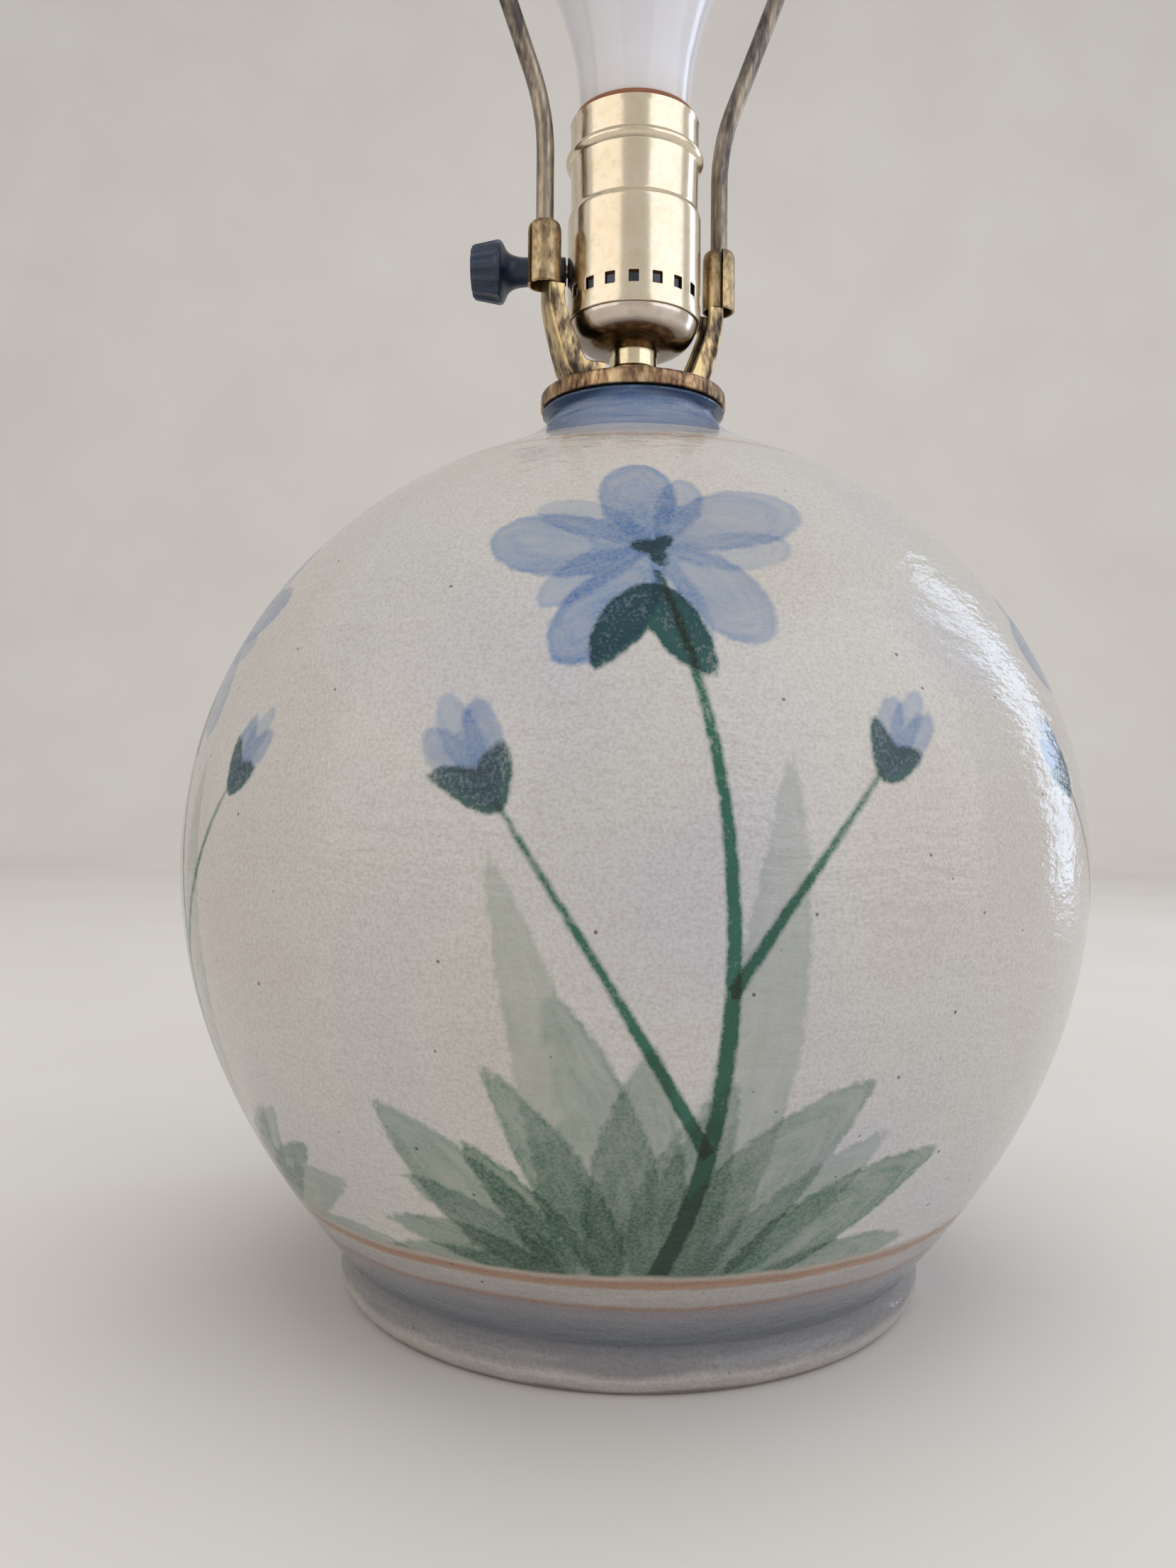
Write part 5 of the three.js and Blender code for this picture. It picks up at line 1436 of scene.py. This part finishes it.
# Phenolic moulded against polished steel: near-black blue, glossy, with faint flow marks, and
# dulled by fingers on the crown.
knob_plastic, tree, shader, place = start_material("blue-black moulded plastic", {"IOR": 1.55})
flow = add_node(tree, "TexNoise", Vector=place, Scale=1 / 6, Detail=3.0)
tone = add_node(tree, "ValToRGB", flow["Fac"], stops=[(0.35, "#0d2036"), (0.65, "#152f4c")])
touched = add_node(tree, "TexNoise", Vector=place, Scale=1 / 1.8, Detail=4.0)
dulled = add_node(tree, "MapRange", touched["Fac"], 0.3, 0.7, 0.22, 0.4)
set_inputs(tree, shader, {"Base Color": tone["Color"], "Roughness": dulled["Result"]})

flare_rise = knob_shoulder - knob_flare_start
flare_width = knob_shoulder_radius - knob_stem_radius
shoulder_curve = quadratic(
    (knob_stem_radius + flare_width * 0.5, knob_flare_start + flare_rise * 0.86),
    (knob_shoulder_radius - 0.2, knob_shoulder - 0.1), (knob_shoulder_radius, knob_shoulder + 0.75),
    8,
)
crown_heights = np.linspace(knob_shoulder + 0.75, knob_face_edge - 0.2, 14)[1:]
crown_slope = (knob_face_radius - knob_shoulder_radius) / (knob_face_edge - knob_shoulder - 0.75)
crown = [(knob_shoulder_radius + crown_slope * (h - crown_heights[0]), h) for h in crown_heights]
face_radii = np.linspace(1, 0, 9)[1:]
knob_outline = np.vstack(
    [
        [(0, bore_end), (knob_bore, bore_end), (knob_bore, stem_start + 0.25)],
        [(knob_bore + 0.2, stem_start), (knob_stem_radius - 0.3, stem_start)],
        [(knob_stem_radius, stem_start + 0.3), (knob_stem_radius, knob_flare_start - 1.5)],
        quadratic(
            (knob_stem_radius, knob_flare_start - 0.8),
            (knob_stem_radius, knob_flare_start + flare_rise * 0.6),
            (knob_stem_radius + flare_width * 0.42, knob_flare_start + flare_rise * 0.82), 8,
        ),
        shoulder_curve, crown,
        quadratic(
            (knob_face_radius - 0.05, knob_face_edge),
            (knob_face_radius - 0.1, knob_face_edge + 0.35),
            (knob_face_radius - 0.7, knob_face_edge + 0.4), 5,
        ),
        [((knob_face_radius - 0.7) * share, knob_end - 0.4 * share**2) for share in face_radii],
    ]
)
knob_grid = revolved(knob_outline, flute_count * columns_per_flute)
around = np.arange(flute_count * columns_per_flute) * 2 * np.pi / columns_per_flute
heights = knob_outline[:, 1]
in_crown = np.clip((heights - knob_shoulder - 0.4) / 1.3, 0, 1)
in_crown *= np.clip((knob_end - heights) / 0.8, 0, 1) * (knob_outline[:, 0] > 3)
scallop = np.abs(np.cos(around / 2)) ** 1.3
dip = flute_depth * in_crown[:, None] * scallop[None]
reach = np.maximum(np.hypot(knob_grid[..., 0], knob_grid[..., 1]), 1e-6)
knob_grid[..., :2] *= (1 - np.minimum(dip / reach, 1))[..., None]
knob = shaped_piece(
    "plastic_turn_knob", [(along_minus_x(knob_grid, knob_height), "open")], knob_plastic, 50
)
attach(knob, "knob")
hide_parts("turn_knob")

# Bulb base. A thin aluminium cap rolled with the same round thread as the socket, crimped and
# cemented to the glass at its collar, with a black glass insulator and a soldered tip below.
base_crest = 13.15
base_sheet = 0.5
collar_height = 2.6
insulator_foot_radius = 5.0
insulator_radius = 9.6
cone_height = 2.9

# Rolled aluminium: bright, a little soft, with clouds of handling and faint lines that run round
# it.
aluminium, tree, shader, place = start_material("rolled aluminium", {"Metallic": 1.0})
rolled = add_node(tree, "Mapping", Vector=place, Scale=(0.05, 0.05, 1.0))
lines = add_node(tree, "TexNoise", Vector=rolled[0], Scale=1 / 0.25)
tone = add_node(tree, "ValToRGB", lines["Fac"], stops=[(0.3, "#b7b6b2"), (0.7, "#d2d1cd")])
handled = add_node(tree, "TexNoise", Vector=place, Scale=1 / 5, Detail=4.0)
dulled = add_node(tree, "MapRange", handled["Fac"], 0.3, 0.7, 0.25, 0.42)
set_inputs(tree, shader, {"Base Color": tone["Color"], "Roughness": dulled["Result"]})

# Black vitrite glass: fused round the tip, nearly black and very smooth, with a few tiny bubbles.
vitrite, tree, shader, place = start_material(
    "black vitrite glass", {"IOR": 1.52, "Roughness": 0.16}
)
bubbles = add_node(tree, "TexVoronoi", Vector=place, Scale=1 / 1.2)
tone = add_node(tree, "ValToRGB", bubbles["Distance"], stops=[(0.08, "#3a3a3e"), (0.16, "#141418")])
set_inputs(tree, shader, {"Base Color": tone["Color"]})

tip_low, tip_high = extent("bulb_tip_contact")
tip_radius = tip_high[0]
tip_rise = tip_high[2] - tip_low[2]
tip_curve = quadratic((0, 0), (tip_radius * 0.95, 0), (tip_radius, tip_rise * 0.6), 9)
tip_outline = np.vstack([tip_curve, [(tip_radius, tip_rise), (0, tip_rise)]]) + [0, tip_low[2]]
tip = turned("solder_tip_contact", tip_outline, 64, aluminium)
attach(tip, "bulb")
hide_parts("bulb_tip_contact")

insulator_foot, insulator_top = foot_and_top("bulb_base_insulator")
insulator_outline = np.vstack(
    [
        [(0, insulator_foot), (insulator_foot_radius - 0.4, insulator_foot)],
        quadratic(
            (insulator_foot_radius, insulator_foot + 0.15),
            (insulator_radius * 0.8, insulator_foot + cone_height * 0.42),
            (insulator_radius, insulator_foot + cone_height), 8,
        ),
        [(insulator_radius, insulator_top), (0, insulator_top)],
    ]
)
insulator = turned("vitrite_insulator", insulator_outline, 96, vitrite)
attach(insulator, "bulb")
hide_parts("bulb_base_insulator")

base_foot, base_top = foot_and_top("bulb_screw_base")
base_root = base_crest - lamp_thread_depth
inner_edge = insulator_radius + 0.3
collar_foot = base_top - collar_height
thread_foot = base_foot + 0.9
thread_out, thread_back = lamp_thread(base_crest, thread_foot, collar_foot, base_sheet, 2.2)
collar = quadratic(
    (base_crest - 0.02, collar_foot + 0.4), (base_root, collar_foot + 1.0), (base_crest, base_top),
    8,
)
base_start = [
    (inner_edge, base_foot), (inner_edge + 0.6, base_foot), (base_root - 0.6, base_foot + 0.35)
]
base_end = [(base_root - base_sheet, base_top), (base_root - base_sheet, collar_foot + 0.5)]
base_back = [(base_root - base_sheet - 0.2, thread_foot), (inner_edge, base_foot + base_sheet)]
plain_back = revolved([(base_root - base_sheet, z) for z in thread_back[:, 0, 2]], thread_columns)
start_rows, collar_rows, end_rows, back_rows = (
    revolved(rows, thread_columns) for rows in (base_start, collar, base_end, base_back)
)
base_grid = np.vstack([start_rows, thread_out, collar_rows, end_rows, plain_back, back_rows])
bulb_base = shaped_piece("aluminium_screw_base", [(base_grid, "ring")], aluminium, 45)
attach(bulb_base, "bulb")
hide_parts("bulb_screw_base")

# Bulb glass. One blown envelope: a straight tube in the cap, a short flared neck and a globe,
# coated white inside so that it looks like opal.
glass_foot_radius = 13.7
glass_neck_radius = 14.5
glass_neck_rise = 5.7
globe_radius = 33.5
globe_centre = 71.7
globe_top = 35.0
neck_pull_share = 0.485
globe_pull_share = 0.21
glass_sheet = 1.0
glass_tube_length = 6.0
glass_foot = foot_and_top("bulb_glass")[0] + glass_tube_length
tube_outer = base_root - base_sheet - 0.3


def cubic(start, first_pull, second_pull, end, count):
    """(1 - t)^3 start + 3 t (1 - t)^2 first pull + 3 t^2 (1 - t) second pull + t^3 end."""
    t = np.linspace(0, 1, count)[:, None]
    points = (np.array(p, float) for p in (start, first_pull, second_pull, end))
    weights = ((1 - t) ** 3, 3 * t * (1 - t) ** 2, 3 * t**2 * (1 - t), t**3)
    return sum(w * p for w, p in zip(weights, points, strict=True))


span = globe_centre - glass_neck_rise
round_top = np.linspace(0, np.pi / 2, 60)[1:]
envelope = np.vstack(
    [
        quadratic(
            (glass_foot_radius - 0.9, 0.0), (glass_foot_radius, 0.1),
            (glass_foot_radius + 0.25, 1.6), 6,
        ),
        [(glass_foot_radius + 0.62, 3.8)],
        cubic(
            (glass_neck_radius, glass_neck_rise),
            (glass_neck_radius, glass_neck_rise + span * neck_pull_share),
            (globe_radius, globe_centre - span * globe_pull_share), (globe_radius, globe_centre),
            70,
        ),
        ellipse_arc(globe_radius, globe_centre, globe_top, round_top),
    ]
)
envelope[-1, 0] = 0
inside = (envelope + glass_sheet * left_normals(envelope))[:6:-3]
inside = inside[inside[:, 1] > 4]
inside[0, 0] = 0
tube_bore = tube_outer - glass_sheet
glass_outline = np.vstack(
    [
        envelope[::-1], [(tube_outer, 0.0), (tube_outer, 0.3 - glass_tube_length)],
        [(tube_outer - 0.3, -glass_tube_length), (tube_bore + 0.3, -glass_tube_length)],
        [(tube_bore, 0.3 - glass_tube_length), (tube_bore, glass_sheet)], inside[::-1],
    ]
)

# Opal glass: white coated, so light sinks in a little and comes back out. It is glossy, cool grey
# to the eye, warmer where the coat is thin near the neck, and not quite even where the powder
# settled.
opal, tree, shader, place = start_material(
    "opal-coated glass",
    {
        "IOR": 1.5, "Roughness": 0.11, "Subsurface Weight": 0.25,
        "Subsurface Radius": (1.0, 0.9, 0.85), "Subsurface Scale": 0.003,
    },
)
settled = add_node(tree, "TexNoise", Vector=place, Scale=1 / 24, Detail=3.0)
coat = add_node(tree, "ValToRGB", settled["Fac"], stops=[(0.35, "#dddce2"), (0.65, "#e4e4ea")])
spot = add_node(tree, "SeparateXYZ", place)
thin = add_node(
    tree, "MapRange", spot["Z"], glass_foot, glass_foot + 16, 0.5, 0.0,
    interpolation_type="SMOOTHSTEP",
)
tone = add_node(tree, "Mix", thin["Result"], coat["Color"], "#cdc2b4", data_type="RGBA")
ripple = add_node(tree, "TexNoise", Vector=place, Scale=1 / 9, Detail=1.0)
relief = add_node(tree, "Bump", Distance=0.00012, Height=ripple["Fac"])
set_inputs(tree, shader, {"Base Color": tone[2], "Normal": relief["Normal"]})

glass = turned("opal_glass_globe", glass_outline + [0, glass_foot], 160, opal, 50)
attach(glass, "bulb")
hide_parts("bulb_glass")

# Harp. One length of brass wire bent to a loop, with a drilled boss forged at its crown. Its feet
# are filed to half rounds that lap the saddle's tongues.
wire_radius = 2.25
wire_sides = 28
leg_end_share = 0.85
leg_bend_rise = 34.0
leg_bend_length = 22.0
splay = np.radians(21.0)
leg_straight = 40.0
side_pull = 66.0
crown_pull = 42.0
boss_radius = 6.5
boss_height = 5.2
stud_bore = 3.4
harp_foot, harp_top = foot_and_top("harp")
crown_height = harp_top - boss_height / 2
lap_top = tongue_top + seat_gap
outward = np.array([np.sin(splay), np.cos(splay)])
bend_start = np.array([leg_radius, sleeve_foot + leg_bend_rise])
bend_knee = bend_start + [0, leg_bend_length / 2]
bend_end = bend_knee + outward * leg_bend_length / 2
straight_end = bend_end + outward * leg_straight
inside_boss = (boss_radius + stud_bore) / 2
leg_line = np.vstack(
    [
        [(leg_radius, harp_foot), (leg_radius, lap_top)],
        quadratic(bend_start, bend_knee, bend_end, 40),
        cubic(
            straight_end, straight_end + outward * side_pull, (crown_pull, crown_height),
            (0, crown_height), 240,
        ),
    ]
)
leg_line = leg_line[leg_line[:, 0] > inside_boss]
above = even_steps(leg_line[1:], 0.9)
lap_rows = [(leg_radius, harp_foot), (leg_radius, harp_foot + 0.25)]
lap_rows += [(leg_radius, h) for h in np.linspace(harp_foot + 1.2, lap_top, 10)]
leg_path = np.vstack([lap_rows, above])
around = np.arange(wire_sides) * 2 * np.pi / wire_sides
wire_section = wire_radius * np.stack([np.cos(around), np.sin(around)], axis=1)
leg_sections = np.repeat(wire_section[None], len(leg_path), axis=0)
leg_sections[0] *= leg_end_share
filed = leg_sections[: len(lap_rows)]
filed[..., 0] = np.minimum(filed[..., 0], -lap_gap / 2)
leg_grid = swept(leg_path, leg_sections)
boss_foot, boss_top = crown_height - boss_height / 2, crown_height + boss_height / 2
boss_section = ring_section(stud_bore, boss_radius, boss_foot, boss_top, [0.4, 1.2, 1.2, 0.4], 5)
harp_brass = aged_brass(
    "aged brass, drawn wire", "#5b5552", "#8a7f73", "#b0a28d", 0.0, (1.0, 1.0, 0.18)
)
harp = shaped_piece(
    "brass_wire_harp",
    [
        (in_harp_plane(leg_grid), "flat"), (in_harp_plane(leg_grid, True), "flat"),
        (revolved(boss_section, 96), "ring"),
    ],
    harp_brass,
)
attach(harp, "harp")
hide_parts("harp")

# Sleeves. Each is rolled from brass sheet with an open seam and drawn in round the wire at its
# top. It turns freely, and slides down over the tongue and the filed foot to lock them.
sleeve_radius = 4.3
sleeve_sheet = 0.7
sleeve_height = 16.0
sleeve_shoulder = 2.6
wire_hole = 2.65
seam_width = 1.1
seam_radius = 3.9
seam_half = np.arcsin(seam_width / 2 / seam_radius)
sleeve_bore = sleeve_radius - sleeve_sheet
shoulder_foot = sleeve_height - sleeve_shoulder
sleeve_outline = np.vstack(
    [
        [(sleeve_bore, 0.15), (sleeve_bore + 0.15, 0), (sleeve_radius - 0.25, 0)],
        [(sleeve_radius, 0.25), (sleeve_radius, shoulder_foot * 0.6)],
        quadratic(
            (sleeve_radius, shoulder_foot), (sleeve_radius, sleeve_height - 0.5),
            (wire_hole + 0.8, sleeve_height - 0.02), 9,
        ),
        [(wire_hole + 0.15, sleeve_height), (wire_hole, sleeve_height - 0.15)],
        [(wire_hole, sleeve_height - sleeve_sheet + 0.1)],
        quadratic(
            (wire_hole + 0.4, sleeve_height - sleeve_sheet),
            (sleeve_bore, sleeve_height - sleeve_sheet - 0.3), (sleeve_bore, shoulder_foot - 0.3),
            7,
        ),
    ]
)
sleeve_turns = np.linspace(seam_half, 2 * np.pi - seam_half, 72)[:, None]
sleeve_r, sleeve_z = sleeve_outline[:, 0], sleeve_outline[:, 1] + sleeve_foot
sleeve_brass = aged_brass(
    "aged brass, rolled sleeve", "#6d5f52", "#a38d6c", "#cbb591", 0.02, (1.0, 1.0, 0.5)
)
for name, node, other_side, seam_side in (
    ("left_brass_sleeve", "left_sleeve", True, 16),
    ("right_brass_sleeve", "right_sleeve", False, 253),
):
    sleeve_angle = np.radians(seam_side) - sleeve_turns
    sleeve_grid = np.stack(
        [
            leg_radius + sleeve_r * np.cos(sleeve_angle), sleeve_r * np.sin(sleeve_angle),
            sleeve_z + 0 * sleeve_turns,
        ],
        axis=-1,
    )
    piece = shaped_piece(name, [(in_harp_plane(sleeve_grid, other_side), "flat")], sleeve_brass)
    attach(piece, node)
    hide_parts(node)

# Shade stud. A turned brass stud with a plate that seats a shade, its upper end cut with a thread.
# A peened head under the harp's boss holds it, so that it turns.
stud_radius = 3.0
rivet_radius = 5.4
rivet_height = 2.3
plate_radius = 9.5
plate_thickness = 1.8
plate_rim = 2.2
plate_rim_rise = 0.3
stud_thread_pitch = 0.94
stud_thread_depth = 0.22
stud_foot, stud_top = foot_and_top("shade_stud")
plate_top = foot_and_top("finial")[0] - seat_gap + plate_rim_rise
plate_foot = plate_top - plate_thickness
well = plate_top - plate_rim_rise
stud_foot_rows = revolved(
    np.vstack(
        [
            [(0, stud_foot)],
            quadratic(
                (rivet_radius * 0.7, stud_foot), (rivet_radius, stud_foot + 0.1),
                (rivet_radius, stud_foot + rivet_height / 2), 7,
            ),
            [(rivet_radius, stud_foot + rivet_height - 0.1)],
            [(rivet_radius - 0.1, stud_foot + rivet_height)],
            [(stud_radius, stud_foot + rivet_height), (stud_radius, plate_foot)],
            [(plate_radius - 0.3, plate_foot), (plate_radius, plate_foot + 0.3)],
            [(plate_radius, plate_top - 0.3), (plate_radius - 0.3, plate_top)],
            [(plate_radius - plate_rim, plate_top), (plate_radius - plate_rim - 0.3, well)],
            [(stud_radius, well), (stud_radius, well + 0.4)],
        ]
    ),
    96,
)
stud_thread = threaded(
    stud_radius, stud_thread_depth, stud_thread_pitch, well + 0.6, stud_top - 0.7, 96
)
stud_end = revolved([(stud_radius - 0.75, stud_top), (0, stud_top)], 96)
stud_grid = np.vstack([stud_foot_rows, stud_thread, stud_end])
stud = shaped_piece("brass_shade_stud", [(stud_grid, "open")], worn_brass)
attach(stud, "stud")
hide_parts("shade_stud")

# Finial. A turned brass button with a hollow waist, a ball and a small tip, drilled and tapped
# from below. It screws down the stud and holds the shade on the plate.
finial_foot_radius = 6.6
finial_foot_height = 2.4
finial_waist_radius = 4.6
finial_waist_height = 5.0
ball_radius = 7.6
finial_tip_radius = 2.5
finial_tip_height = 4.6
finial_bore_depth = 12.3
waist_top = finial_foot_height + finial_waist_height
ball_middle = waist_top + ball_radius * 0.85
ball_angle = np.radians(np.linspace(-52, 70, 40))
ball = ellipse_arc(ball_radius, ball_middle, ball_radius, ball_angle)
tip_foot = ball[-1, 1]
finial_outline = np.vstack(
    [
        [(0, finial_bore_depth), (stud_bore, finial_bore_depth), (stud_bore, 0.3)],
        [(stud_bore + 0.3, 0), (finial_foot_radius - 0.5, 0)],
        quadratic(
            (finial_foot_radius - 0.1, 0.1), (finial_foot_radius + 0.1, finial_foot_height * 0.5),
            (finial_foot_radius - 0.15, finial_foot_height - 0.3), 6,
        ),
        quadratic(
            (finial_foot_radius - 0.5, finial_foot_height),
            (finial_waist_radius - 0.9, waist_top - 2.8), (ball[0, 0] - 0.15, waist_top - 0.4), 14,
        ),
        ball[1:],
        quadratic(
            (finial_tip_radius, tip_foot + 0.5),
            (finial_tip_radius + 0.5, tip_foot + finial_tip_height * 0.55),
            (finial_tip_radius * 0.7, tip_foot + finial_tip_height * 0.8), 8,
        ),
        quadratic(
            (finial_tip_radius * 0.6, tip_foot + finial_tip_height * 0.86),
            (finial_tip_radius * 0.4, tip_foot + finial_tip_height),
            (0, tip_foot + finial_tip_height), 6,
        ),
    ]
) + [0, foot_and_top("finial")[0]]
finial = turned("brass_finial", finial_outline, 120, worn_brass)
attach(finial, "finial")
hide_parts("finial")
